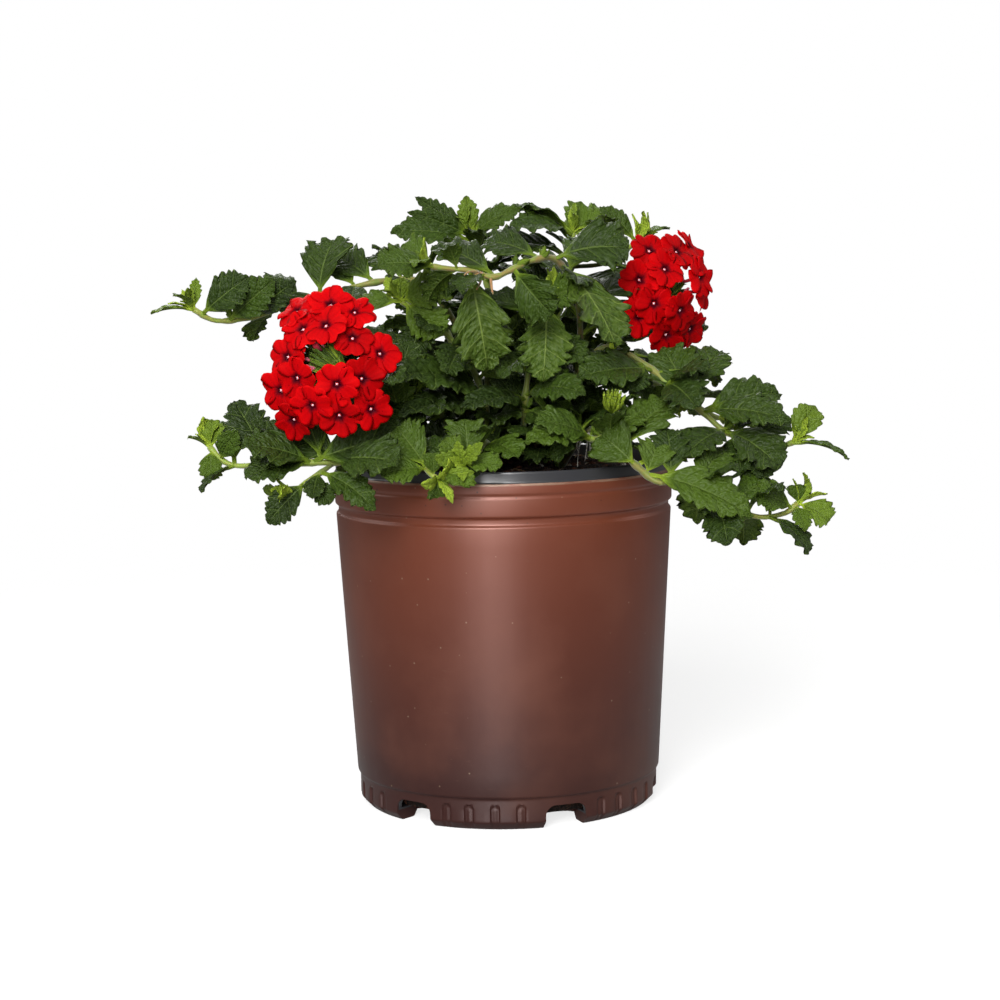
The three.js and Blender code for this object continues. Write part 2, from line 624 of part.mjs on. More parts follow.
// ---- placing: a leaf that would touch another shoot is turned or lifted, step by step, until clear ----
const turns = [
  [0, 0], [0, 8], [0, -8], [9, 0], [-9, 0], [9, 8], [-9, 8], [9, -8], [-9, -8], [0, 17], [0, -17],
  [19, 0], [-19, 0], [19, 14], [-19, 14], [19, -14], [-19, -14], [0, 28], [0, -28], [34, 8], [-34, 8],
];
const bends = [1, 0.85, 0.7].flatMap((share) => turns.map(([turn, lift]) => [share, turn, lift]));

const taken = []; // { owner, base, body, box } of every solid placed so far
const boxOf = (body) => {
  const { min, max } = body.boundingBox();
  return new THREE.Box3(vec(...min), vec(...max)).expandByScalar(clear);
};
function isClear(body, owner, base) {
  const box = boxOf(body);
  return taken.every((other) => !other.box.intersectsBox(box)
    || (other.owner === owner && !(other.base && other.base.distanceTo(base) > leafSize.nodeReach))
    || body.intersect(other.body).isEmpty());
}
const place = (owner, body, base = null) => taken.push({ owner, base, body, box: boxOf(body) });

function stemsOf(shoot) {
  const main = shoot.points.slice();
  if (shoot.bloom) {
    const { top, axis } = headFrame(shoot.bloom);
    const seat = top.clone().addScaledVector(axis, -head.stalkDepth);
    main.push([seat.x, seat.y, seat.z]);
  }
  const [thick, thin] = [stemSize.rootRadius, stemSize.tipRadius];
  const stems = [{ curve: stemCurve(main), thick, thin, leaves: shoot.leaves }];
  for (const branch of shoot.branches ?? []) {
    const fork = onStem(stems[0].curve, branch.along);
    const curve = stemCurve([[fork.x, fork.y, fork.z], ...branch.points]);
    stems.push({ curve, thick: thin, thin, leaves: branch.leaves });
  }
  return stems;
}

// The plain hole that a stem stands in: square, round the stem's first straight step.
function stemHole(curve) {
  const foot = curve.getPoint(0);
  const up = onStem(curve, 1 / stemSteps(curve)).sub(foot).normalize();
  const radius = (stemSize.rootRadius + soilSize.holeClear) / Math.cos(Math.PI / 4);
  const top = foot.clone().addScaledVector(up, stemSize.step);
  return stemSolid(new THREE.LineCurve3(foot.addScaledVector(up, -1), top), radius, radius, 4);
}

const potBody = potSolid();
place('pot', potBody);
let soilBody = soilSolid();
const parts = {};
const florets = {};
for (const [name, shoot] of Object.entries(shoots)) {
  const stems = stemsOf(shoot);
  parts[name] = stems.map(({ curve, thick, thin }) => stemSolid(curve, thick, thin));
  soilBody = soilBody.subtract(stemHole(stems[0].curve));
  if (shoot.bloom) {
    florets[name] = floretSolids(shoot.bloom, name.length);
    florets[name].forEach((body) => place(`${name}_florets`, body));
    parts[name].push(...heartSolids({ ...shoot.bloom, ...heart }));
  }
  if (shoot.buds) parts[name].push(...heartSolids(shoot.buds));
  parts[name].forEach((body) => place(name, body));
}
place('soil', soilBody);

for (const [name, shoot] of Object.entries(shoots)) {
  for (const { curve, leaves } of stemsOf(shoot)) {
    for (const [along, heading, rise, length, width, roll] of leaves) {
      const base = onStem(curve, along);
      for (const [share, turn, lift] of bends) {
        const shape = [heading + turn, rise + lift, length * share, width * share, roll];
        if (!isClear(leafSolid(base, shape, 2 * clear), name, base)) continue;
        const leaf = leafSolid(base, shape);
        parts[name].push(leaf);
        place(name, leaf, base);
        break;
      }
    }
  }
}

// ---- the assembly ----
const looks = {
  pot: { color: 0x7a4637, roughness: 0.42, metalness: 0.1 },
  soil: { color: 0x1c1714, roughness: 0.95, metalness: 0 },
  leaf: { color: 0x35551f, roughness: 0.7, metalness: 0 },
  petal: { color: 0xd8060c, roughness: 0.6, metalness: 0 },
};
const verbena = new THREE.Group();
verbena.add(mesh(potBody, 'pot', looks.pot));
verbena.add(mesh(soilBody, 'soil', looks.soil));
for (const name of Object.keys(shoots)) {
  verbena.add(mesh(join(parts[name]), `shoot_${name}`, looks.leaf));
  if (florets[name]) verbena.add(mesh(join(florets[name]), `florets_${name}`, looks.petal));
}

export default verbena;
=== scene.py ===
# A verbena growing in its nursery pot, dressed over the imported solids. Lengths in the tables are millimetres.
import math
from functools import partial
import bmesh
import bpy
import numpy as np
from mathutils import Matrix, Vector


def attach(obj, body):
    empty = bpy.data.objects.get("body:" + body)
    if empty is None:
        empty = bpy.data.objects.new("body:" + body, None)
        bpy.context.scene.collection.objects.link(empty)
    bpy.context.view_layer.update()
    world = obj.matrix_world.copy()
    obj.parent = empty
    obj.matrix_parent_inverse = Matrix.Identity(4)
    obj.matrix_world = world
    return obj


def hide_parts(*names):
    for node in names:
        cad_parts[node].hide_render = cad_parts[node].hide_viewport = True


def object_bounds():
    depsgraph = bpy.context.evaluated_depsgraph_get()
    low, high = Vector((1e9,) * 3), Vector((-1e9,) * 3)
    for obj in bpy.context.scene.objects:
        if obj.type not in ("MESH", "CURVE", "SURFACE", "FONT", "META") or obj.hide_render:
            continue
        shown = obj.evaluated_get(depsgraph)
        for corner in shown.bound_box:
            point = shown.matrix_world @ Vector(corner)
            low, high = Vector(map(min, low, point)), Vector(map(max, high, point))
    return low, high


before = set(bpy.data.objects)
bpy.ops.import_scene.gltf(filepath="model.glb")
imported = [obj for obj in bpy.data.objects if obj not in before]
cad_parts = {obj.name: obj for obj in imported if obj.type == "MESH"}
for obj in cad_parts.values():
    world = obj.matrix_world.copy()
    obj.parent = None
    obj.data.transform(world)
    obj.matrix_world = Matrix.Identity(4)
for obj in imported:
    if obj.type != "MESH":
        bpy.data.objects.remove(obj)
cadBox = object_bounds()
mm = 0.001
print("frame loaded")


# ---- camera, floor and light ----
camera = {"place": (0, -1000, 246.6), "yaw": -0.10, "down": 6.25, "roll": 1.02, "lens": 79.2, "sensor": 36}
floorSheet = {"radius": 1200, "rings": 24, "spokes": 96, "paperTo": 330, "goneAt": 900, "clear": 0.75}
lamps = [
    # azimuth 0 stands in front at -Y and turns towards +X, aim is the height it points at
    {"name": "frontBox", "azimuth": -11, "elevation": 27, "distance": 1700, "aim": 200, "size": (760, 1300),
     "spread": 70, "watts": 7.8},
    {"name": "lowCard", "azimuth": -9, "elevation": -9, "distance": 1600, "aim": 60, "size": (420, 420),
     "spread": 90, "watts": 0.9},
    {"name": "topBox", "azimuth": -30, "elevation": 75, "distance": 1800, "aim": 150, "size": (1600, 1600),
     "spread": 150, "watts": 2.3},
    {"name": "backBox", "azimuth": 165, "elevation": 40, "distance": 2000, "aim": 150, "size": (1500, 1000),
     "spread": 120, "watts": 3},
    {"name": "rearBox", "azimuth": -162, "elevation": 30, "distance": 1800, "aim": 170, "size": (900, 900),
     "spread": 80, "watts": 3.6},
    {"name": "rightBox", "azimuth": 96, "elevation": 32, "distance": 1900, "aim": 150, "size": (1300, 1100),
     "spread": 90, "watts": 2.2},
    {"name": "leftBox", "azimuth": -104, "elevation": 32, "distance": 1900, "aim": 150, "size": (1300, 1100),
     "spread": 90, "watts": 2.2},
]
studioAir = {"seen": 1.0, "glow": 0.15}


def placeObject(name, data):
    ob = bpy.data.objects.new(name, data)
    bpy.context.collection.objects.link(ob)
    return ob


def faceAlong(ob, place, right, up, back):
    # the object's x, y and z axes are right, up and back
    axes = np.stack([right, up, back], axis=1)
    ob.matrix_world = Matrix.Translation(np.array(place) * mm) @ Matrix(axes.tolist()).to_4x4()


def addCamera():
    # right, ahead and up from yaw and pitch, then right and up turned by the roll about ahead
    yaw, down, roll = (math.radians(camera[key]) for key in ("yaw", "down", "roll"))
    right = np.array([math.cos(yaw), -math.sin(yaw), 0])
    level = np.array([math.sin(yaw), math.cos(yaw), 0])
    ahead = level * math.cos(down) - np.array([0, 0, math.sin(down)])
    up = np.cross(right, ahead)
    data = bpy.data.cameras.new("camera")
    data.lens = camera["lens"]
    data.sensor_width = camera["sensor"]
    data.clip_start, data.clip_end = 0.05, 60
    bpy.context.scene.camera = placeObject("camera", data)
    faceAlong(bpy.context.scene.camera, camera["place"], right * math.cos(roll) - up * math.sin(roll),
              right * math.sin(roll) + up * math.cos(roll), -ahead)


def addLamps():
    # each lamp stands at distance along (sin a cos e, -cos a cos e, sin e) and faces back down that line
    for lamp in lamps:
        a, e = math.radians(lamp["azimuth"]), math.radians(lamp["elevation"])
        back = np.array([math.sin(a) * math.cos(e), -math.cos(a) * math.cos(e), math.sin(e)])
        data = bpy.data.lights.new(lamp["name"], "AREA")
        data.shape = "RECTANGLE"
        data.size, data.size_y = (side * mm for side in lamp["size"])
        data.energy, data.spread = lamp["watts"], math.radians(lamp["spread"])
        side = np.cross([0, 0, 1], back)
        side /= np.linalg.norm(side)
        place = np.array([0, 0, lamp["aim"]]) + back * lamp["distance"]
        faceAlong(placeObject(lamp["name"], data), place, side, np.cross(back, side), back)


def addAir():
    # the backdrop is seen as white paper, and gives only a faint glow of its own
    world = bpy.data.worlds.new("studio")
    bpy.context.scene.world = world
    world.use_nodes = True
    tree = world.node_tree
    tree.nodes.clear()
    seen = addNode(tree, "LightPath", out=0)
    strength = addNode(tree, "MapRange", {0: seen, 3: studioAir["glow"], 4: studioAir["seen"]})
    light = addNode(tree, "Background", {0: "#ffffff", 1: strength})
    addNode(tree, "OutputWorld", {0: light}, out=None)


# ---- materials: one function for colours, one for nodes ----
def linear(hexColour):
    # sRGB to linear: c / 12.92 up to 0.04045, and ((c + 0.055) / 1.055) ** 2.4 above it
    parts = [int(hexColour[i:i + 2], 16) / 255 for i in (1, 3, 5)]
    return [c / 12.92 if c <= 0.04045 else ((c + 0.055) / 1.055) ** 2.4 for c in parts] + [1.0]


def addNode(tree, kind, inputs=None, out=0, stops=(), **properties):
    # inputs: socket to a value, a hex colour or another node's output. out: the output that is handed back.
    # A Mix node mixes colours and hands its colour back.
    node = tree.nodes.new("ShaderNode" + kind)
    if kind == "Mix":
        node.data_type, out = "RGBA", 2
    for key, value in properties.items():
        setattr(node, key, value)
    for place, colour in stops:
        ramp = node.color_ramp.elements
        stop = ramp[stops.index((place, colour))] if stops.index((place, colour)) < 2 else ramp.new(place)
        stop.position, stop.color = place, linear(colour)
    for socket, value in (inputs or {}).items():
        if isinstance(value, bpy.types.NodeSocket):
            tree.links.new(value, node.inputs[socket])
        else:
            node.inputs[socket].default_value = linear(value) if isinstance(value, str) else value
    return node if out is None else node.outputs[out]


def newMaterial(name):
    # hands back the material and its own way to add a node
    material = bpy.data.materials.new(name)
    material.use_nodes = True
    material.node_tree.nodes.clear()
    return material, partial(addNode, material.node_tree)


def readLook(add):
    # the three shares that each piece carries in its look
    look = add("Attribute", out=None, attribute_name="look")
    parts = add("SeparateColor", {0: look.outputs["Color"]}, out=None)
    return (parts.outputs[k] for k in range(3))


def finishMaterial(add, inputs):
    add("OutputMaterial", {"Surface": add("BsdfPrincipled", inputs)}, out=None)


# ---- materials ----
# Living leaf: a thin green blade under a dull, hairy skin. The blade bulges between sunken veins, so light
# catches each bulge, and the underside is paler with raised veins. A grey sheen colour is also painted on the
# bulge tops as a painted highlight.
leafFinish = {
    "old": "#0c1c06", "mid": "#273a09", "young": "#527c14", "bud": "#b0c83c", "sheen": "#323e16",
    "under": "#34480f", "veinTop": "#5a6d30", "veinUnder": "#74863e",
    "sideVein": 0.075, "midVein": 0.05, "drawn": 0.7, "netDrawn": 0.2, "waver": 1 / 4, "waverBy": 0.4,
    "faint": 0.3,
    "netAcross": 13, "netAlong": 3.0, "patch": 1 / 14, "grain": 1.4, "relief": 0.8,
}


def leafMaterial():
    f = leafFinish
    material, add = newMaterial("livingLeaf")
    tone, young, under = readLook(add)
    uv = add("SeparateXYZ", {0: add("UVMap", uv_map="blade")}, out=None)
    across, along = uv.outputs[0], uv.outputs[1]
    # the side veins run where the tooth count passes 0.65, waver a little, and every second one is faint: by
    # |sin(pi turned / 2)|. The midrib runs where across passes 0.5.
    place = add("TexCoord", out=3)
    waver = add("TexNoise", {"Vector": place, "Scale": f["waver"] / mm, "Detail": 1.0})
    turned = add("Math", {0: waver, 1: f["waverBy"], 2: along}, operation="MULTIPLY_ADD")
    turned = add("Math", {0: turned, 1: 0.15}, operation="ADD")
    second = add("Math", {0: turned, 1: math.pi / 2}, operation="MULTIPLY")
    second = add("Math", {0: second}, operation="SINE")
    second = add("Math", {0: second}, operation="ABSOLUTE")
    second = add("MapRange", {0: second, 3: f["faint"], 4: 1})
    count = add("Math", {0: turned, 1: 0.5}, operation="ADD")
    share = add("Math", {0: count}, operation="FRACT")
    fromSide = add("Math", {0: share, 1: 0.5}, operation="SUBTRACT")
    fromSide = add("Math", {0: fromSide}, operation="ABSOLUTE")
    fromMid = add("Math", {0: across, 1: 0.5}, operation="SUBTRACT")
    fromMid = add("Math", {0: fromMid}, operation="ABSOLUTE")
    sideVein = add("MapRange", {0: fromSide, 1: 0.01, 2: f["sideVein"], 3: 1, 4: 0},
                   interpolation_type="SMOOTHSTEP")
    sideVein = add("Math", {0: sideVein, 1: second}, operation="MULTIPLY")
    midVein = add("MapRange", {0: fromMid, 1: 0.008, 2: f["midVein"] / 2, 3: 1, 4: 0},
                  interpolation_type="SMOOTHSTEP")
    vein = add("Math", {0: sideVein, 1: midVein}, operation="MAXIMUM")
    cells = add("CombineXYZ", {
        0: add("Math", {0: across, 1: f["netAcross"]}, operation="MULTIPLY"),
        1: add("Math", {0: along, 1: f["netAlong"]}, operation="MULTIPLY"),
        2: add("Math", {0: tone, 1: 37.0}, operation="MULTIPLY")})
    net = add("TexVoronoi", {"Vector": cells, "Scale": 1.0, "Smoothness": 0.5}, feature="SMOOTH_F1")
    netVein = add("MapRange", {0: net, 1: 0.2, 2: 0.75})
    patch = add("TexNoise", {"Vector": place, "Scale": f["patch"] / mm, "Detail": 3.0})
    shade = add("Math", {0: patch, 1: tone}, operation="ADD")
    shade = add("MapRange", {0: shade, 1: 0.6, 2: 1.45})
    blade = add("Mix", {0: shade, 6: f["old"], 7: f["mid"]})
    # painted highlight: where the net is small, on the bulge tops, the blade is mixed up to 0.35 towards the
    # sheen colour
    paintedBulgeSheen = add("MapRange", {0: net, 1: 0.1, 2: 0.6, 3: 0.35, 4: 0})
    blade = add("Mix", {0: paintedBulgeSheen, 6: blade, 7: f["sheen"]})
    blade = add("Mix", {0: under, 6: blade, 7: f["under"]})
    early = add("Mix", {0: young, 6: f["young"], 7: f["bud"]})
    blade = add("Mix", {0: young, 6: blade, 7: early})
    line = add("Mix", {0: under, 6: f["veinTop"], 7: f["veinUnder"]})
    netDrawn = add("Math", {0: netVein, 1: f["netDrawn"]}, operation="MULTIPLY")
    drawn = add("Math", {0: vein, 1: f["drawn"]}, operation="MULTIPLY")
    drawn = add("Math", {0: drawn, 1: netDrawn}, operation="MAXIMUM")
    colour = add("Mix", {0: drawn, 6: blade, 7: line})
    # top: veins sunk, bulges raised. underside: the same pattern turned over.
    relief = add("Math", {0: netVein, 1: vein}, operation="MAXIMUM")
    side = add("MapRange", {0: under, 3: -1, 4: 1})
    relief = add("Math", {0: relief, 1: side}, operation="MULTIPLY")
    grain = add("TexNoise", {"Vector": place, "Scale": f["grain"] / mm, "Detail": 2.0})
    relief = add("Math", {0: grain, 1: 0.35, 2: relief}, operation="MULTIPLY_ADD")
    bump = add("Bump", {"Height": relief, "Strength": 0.7, "Distance": f["relief"] * mm})
    rough = add("MapRange", {0: grain, 3: 0.38, 4: 0.56})
    finishMaterial(add, {"Base Color": colour, "Roughness": rough, "Normal": bump, "IOR": 1.42,
                         "Specular IOR Level": 0.25, "Subsurface Weight": 0.05, "Subsurface Scale": 0.9 * mm,
                         "Subsurface Radius": (0.9, 1.0, 0.25)})
    return material


# Living stem: ribbed, downy, juicy green at the tip and tan where it has aged.
stemFinish = {"old": "#4d5a26", "young": "#869a3a", "dry": "#a4774c", "dark": "#4a3a28", "streak": 1 / 3}


def stemMaterial():
    f = stemFinish
    material, add = newMaterial("livingStem")
    tone, young, dry = readLook(add)
    place = add("TexCoord", out=3)
    streak = add("TexNoise", {"Vector": place, "Scale": f["streak"] / mm, "Detail": 4.0})
    green = add("Mix", {0: young, 6: f["old"], 7: f["young"]})
    aged = add("Mix", {0: streak, 6: f["dark"], 7: f["dry"]})
    aged = add("Mix", {0: 0.65, 6: aged, 7: f["dry"]})
    patchy = add("MapRange", {0: streak, 1: 0.35, 2: 0.6})
    worn = add("Math", {0: dry, 1: patchy}, operation="MULTIPLY")
    colour = add("Mix", {0: worn, 6: green, 7: aged})
    shade = add("MapRange", {0: tone, 3: 0.75, 4: 1.15})
    colour = add("VectorMath", {0: colour, 1: shade}, operation="MULTIPLY")
    bump = add("Bump", {"Height": streak, "Strength": 0.4, "Distance": 0.3 * mm})
    finishMaterial(add, {"Base Color": colour, "Roughness": 0.5, "Normal": bump, "IOR": 1.42,
                         "Sheen Weight": 0.3, "Subsurface Weight": 0.1, "Subsurface Scale": 1.0 * mm})
    return material


# Verbena petal: velvety scarlet from tiny domed skin cells, crimson where it darkens towards the tube: partly
# its own eye ring, partly painted shade.
petalFinish = {
    "throat": "#3c000e", "ring": "#6c0009", "petal": "#b00006", "edge": "#c40206", "mouth": "#f0c4cc",
    "tube": "#c85a70", "vein": 26, "veinShade": 0.05, "darkest": 0.66, "vary": 0.42, "cloud": 0.35,
    "grain": 3.0,
}


def petalMaterial():
    f = petalFinish
    material, add = newMaterial("verbenaPetal")
    tone, mouth, tube = readLook(add)
    uv = add("SeparateXYZ", {0: add("UVMap", uv_map="blade")}, out=None)
    place = add("TexCoord", out=3)
    cloud = add("TexNoise", {"Vector": place, "Scale": f["cloud"] / mm, "Detail": 2.0})
    reach = add("Math", {0: cloud, 1: 0.16, 2: uv.outputs[1]}, operation="MULTIPLY_ADD")
    reach = add("Math", {0: reach, 1: 0.08}, operation="SUBTRACT")
    # partly the floret's own dark crimson ring round the eye, partly painted shade: the colour darkens from the
    # lighter rim in to the throat
    colour = add("ValToRGB", {0: reach}, stops=(
        (0.0, f["throat"]), (1.0, f["edge"]), (0.05, f["throat"]), (0.14, f["ring"]), (0.3, f["petal"])))
    stripes = add("Math", {0: uv.outputs[0], 1: f["vein"]}, operation="MULTIPLY")
    stripes = add("Math", {0: stripes}, operation="SINE")
    shade = add("Math", {0: stripes, 1: f["veinShade"], 2: f["darkest"]}, operation="MULTIPLY_ADD")
    shade = add("Math", {0: tone, 1: f["vary"], 2: shade}, operation="MULTIPLY_ADD")
    colour = add("VectorMath", {0: colour, 1: shade}, operation="MULTIPLY")
    colour = add("Mix", {0: mouth, 6: colour, 7: f["mouth"]})
    colour = add("Mix", {0: tube, 6: colour, 7: f["tube"]})
    grain = add("TexNoise", {"Vector": place, "Scale": f["grain"] / mm, "Detail": 1.0})
    relief = add("Math", {0: stripes, 1: 0.3, 2: grain}, operation="MULTIPLY_ADD")
    bump = add("Bump", {"Height": relief, "Strength": 0.35, "Distance": 0.2 * mm})
    finishMaterial(add, {"Base Color": colour, "Roughness": 0.62, "Normal": bump, "IOR": 1.4,
                         "Specular IOR Level": 0.06, "Sheen Weight": 0.03, "Sheen Tint": "#ff2020",
                         "Subsurface Weight": 0.1, "Subsurface Scale": 0.8 * mm,
                         "Subsurface Radius": (1.0, 0.1, 0.08)})
    return material


# Injection-moulded polypropylene in two colours: a satin brown outside whose pearl pigment gives the gleam a
# copper tint, with a faint milky bloom, black inside and at the lip, lightly scuffed, with dust stuck to it.
potFinish = {
    "pearl": 0.3, "brown": "#75371f", "low": "#39130b", "bloom": "#8a523c", "black": "#2e2e31",
    "dust": "#a08670", "scuff": "#7d5442", "crumb": "#1c120c", "dustyGleamLine": 151.8, "brownTop": 152.2,
    "underside": 4.8,
    "cloud": 1 / 45, "scratch": 1 / 12, "squeeze": 6, "grain": 1 / 0.8, "specks": 0.12, "crumbs": 0.2,
}


def potMaterial():
    f = potFinish
    material, add = newMaterial("mouldedPolypropylene")
    place = add("TexCoord", out=3)
    at = add("SeparateXYZ", {0: place}, out=None)
    x, y, z = (at.outputs[k] for k in range(3))
    flat = add("CombineXYZ", {0: x, 1: y})
    radius = add("VectorMath", {0: flat}, out=1, operation="LENGTH")
    # the wall's mid radius at height z separates the brown outside from the black inside
    wall = add("MapRange", {0: z, 1: 14 * mm, 2: 133 * mm, 3: 67.4 * mm, 4: 74.4 * mm})
    inside = add("Math", {0: radius, 1: wall}, operation="LESS_THAN")
    above = add("Math", {0: z, 1: f["underside"] * mm}, operation="GREATER_THAN")
    inside = add("Math", {0: inside, 1: above}, operation="MULTIPLY")
    lip = add("Math", {0: z, 1: f["brownTop"] * mm}, operation="GREATER_THAN")
    black = add("Math", {0: inside, 1: lip}, operation="MAXIMUM")
    cloud = add("TexNoise", {"Vector": place, "Scale": f["cloud"] / mm, "Detail": 4.0})
    # painted shade: the brown runs from the darker low colour at the foot up to the full brown under the
    # collar, standing in for the lamps lighting the lower wall less
    height = add("MapRange", {0: z, 1: 20 * mm, 2: 135 * mm})
    brown = add("Mix", {0: height, 6: f["low"], 7: f["brown"]})
    milky = add("MapRange", {0: cloud, 1: 0.45, 2: 0.8, 3: 0, 4: 0.3})
    brown = add("Mix", {0: milky, 6: brown, 7: f["bloom"]})
    # scuffs run round the wall: noise squeezed along z
    squeezed = add("Mapping", {"Vector": place, "Scale": (1, 1, f["squeeze"])})
    scratch = add("TexNoise", {"Vector": squeezed, "Scale": f["scratch"] / mm, "Detail": 5.0,
                               "Roughness": 0.7})
    scuffed = add("MapRange", {0: scratch, 1: 0.64, 2: 0.78, 3: 0, 4: 0.22})
    brown = add("Mix", {0: scuffed, 6: brown, 7: f["scuff"]})
    # a pale line is painted in patches along the joint under the lip, partly dust and partly a painted
    # highlight on the collar's top edge, and crumbs of the mix stick to the collar
    dustyGleamLine = add("Math", {0: z, 1: f["dustyGleamLine"] * mm}, operation="SUBTRACT")
    dustyGleamLine = add("Math", {0: dustyGleamLine}, operation="ABSOLUTE")
    dustyGleamLine = add("MapRange", {0: dustyGleamLine, 1: 0.35 * mm, 2: 0.8 * mm, 3: 1, 4: 0})
    patches = add("MapRange", {0: scratch, 1: 0.4, 2: 0.58, 3: 0.12, 4: 0.7})
    dustyGleamLine = add("Math", {0: dustyGleamLine, 1: patches}, operation="MULTIPLY")
    brown = add("Mix", {0: dustyGleamLine, 6: brown, 7: f["dust"]})
    crumb = add("TexVoronoi", {"Vector": place, "Scale": f["crumbs"] / mm})
    crumb = add("MapRange", {0: crumb, 1: 0.06, 2: 0.1, 3: 0.8, 4: 0})
    splash = add("MapRange", {0: z, 1: 128 * mm, 2: 148 * mm})
    crumb = add("Math", {0: crumb, 1: splash}, operation="MULTIPLY")
    brown = add("Mix", {0: crumb, 6: brown, 7: f["crumb"]})
    colour = add("Mix", {0: black, 6: brown, 7: f["black"]})
    dust = add("TexVoronoi", {"Vector": place, "Scale": f["specks"] / mm})
    speck = add("MapRange", {0: dust, 1: 0.03, 2: 0.055, 3: 0.55, 4: 0})
    colour = add("Mix", {0: speck, 6: colour, 7: f["dust"]})
    grain = add("TexNoise", {"Vector": place, "Scale": f["grain"] / mm, "Detail": 2.0})
    bump = add("Bump", {"Height": grain, "Strength": 0.06, "Distance": 0.1 * mm})
    rough = add("MapRange", {0: cloud, 1: 0.3, 2: 0.7, 3: 0.4, 4: 0.48})
    rough = add("Math", {0: scuffed, 1: 0.5, 2: rough}, operation="MULTIPLY_ADD")
    rough = add("Math", {0: black, 1: -0.12, 2: rough}, operation="MULTIPLY_ADD")
    pearl = add("MapRange", {0: black, 3: f["pearl"], 4: 0})
    finishMaterial(add, {"Base Color": colour, "Roughness": rough, "Normal": bump, "IOR": 1.49,
                         "Metallic": pearl, "Specular IOR Level": 1.0})
    return material


# Moist potting mix: dark peat and bark fines, almost black, with a slight gleam on wet crumbs.
soilFinish = {"dark": "#17100c", "crumb": "#40291c", "bark": "#5e3522", "coarse": 1 / 3.5, "fine": 1 / 0.9}


def soilMaterial():
    f = soilFinish
    material, add = newMaterial("pottingMix")
    place = add("TexCoord", out=3)
    coarse = add("TexVoronoi", {"Vector": place, "Scale": f["coarse"] / mm}, out=None)
    fine = add("TexNoise", {"Vector": place, "Scale": f["fine"] / mm, "Detail": 5.0})
    pick = add("SeparateColor", {0: coarse.outputs["Color"]}, out=0)
    share = add("MapRange", {0: fine, 1: 0.42, 2: 0.7})
    colour = add("Mix", {0: share, 6: f["dark"], 7: f["crumb"]})
    isBark = add("MapRange", {0: pick, 1: 0.78, 2: 0.8, 3: 0, 4: 0.7})
    colour = add("Mix", {0: isBark, 6: colour, 7: f["bark"]})
    relief = add("Math", {0: coarse.outputs["Distance"], 1: -1.0, 2: fine}, operation="MULTIPLY_ADD")
    bump = add("Bump", {"Height": relief, "Strength": 0.9, "Distance": 1.0 * mm})
    rough = add("MapRange", {0: fine, 3: 0.95, 4: 0.7})
    finishMaterial(add, {"Base Color": colour, "Roughness": rough, "Normal": bump, "IOR": 1.4})
    return material


# Perlite: puffed volcanic glass, chalky off-white grains stained by the peat in their pits.
def perliteMaterial():
    material, add = newMaterial("perlite")
    place = add("TexCoord", out=3)
    pits = add("TexNoise", {"Vector": place, "Scale": 1.1 / mm, "Detail": 4.0})
    stain = add("MapRange", {0: pits, 1: 0.35, 2: 0.55})
    colour = add("Mix", {0: stain, 6: "#8d7f6d", 7: "#dcd9d0"})
    bump = add("Bump", {"Height": pits, "Strength": 0.8, "Distance": 0.4 * mm})
    finishMaterial(add, {"Base Color": colour, "Roughness": 0.9, "Normal": bump, "IOR": 1.45})
    return material


# Plain matte paper under the pot, which fades out into the white surroundings.
def floorMaterial():
    material, add = newMaterial("backdropPaper")
    place = add("TexCoord", out=3)
    fibre = add("TexNoise", {"Vector": place, "Scale": 0.02 / mm, "Detail": 3.0})
    colour = add("Mix", {0: fibre, 6: "#f3f3f2", 7: "#f8f8f7"})
    paper = add("BsdfDiffuse", {"Color": colour, "Roughness": 0.9})
    clear = add("BsdfTransparent")
    far = add("VectorMath", {0: place}, out=1, operation="LENGTH")
    near, gone = (floorSheet[key] * mm for key in ("paperTo", "goneAt"))
    fade = add("MapRange", {0: far, 1: near, 2: gone, 3: floorSheet["clear"]},
               interpolation_type="SMOOTHERSTEP")
    surface = add("MixShader", {0: fade, 1: paper, 2: clear})
    add("OutputMaterial", {"Surface": surface}, out=None)
    return material


# ---- meshes: closed skins and spikes gathered into one piece ----
def together(*parts):
    # parts of any fitting shapes become the last axis of one array
    return np.stack(np.broadcast_arrays(*parts), axis=-1)


def newSoup():
    return {"points": [], "uv": [], "look": [], "quads": [], "tris": [], "quadKinds": [], "triKinds": [],
            "count": 0}


def addPoints(soup, points, uv, look):
    # hands back the number of the first of the added points
    whole = points.shape[:-1]
    soup["points"].append(points.reshape(-1, 3))
    soup["uv"].append(np.broadcast_to(uv, whole + (2,)).reshape(-1, 2))
    soup["look"].append(np.broadcast_to(look, whole + (4,)).reshape(-1, 4))
    first = soup["count"]
    soup["count"] += points.size // 3
    return first


def addFaces(soup, quads, tris, kind):
    soup["quads"].append(quads.reshape(-1, 4))
    soup["tris"].append(tris.reshape(-1, 3))
    soup["quadKinds"].append(np.full(quads.size // 4, kind))
    soup["triKinds"].append(np.full(tris.size // 3, kind))


def ringQuads(index):
    # rows of corners, each row a closed ring, joined to the next row by quads
    ahead = np.roll(index, -1, axis=-1)
    corners = [index[..., :-1, :], ahead[..., :-1, :], ahead[..., 1:, :], index[..., 1:, :]]
    return np.stack(corners, axis=-1).reshape(-1, 4)


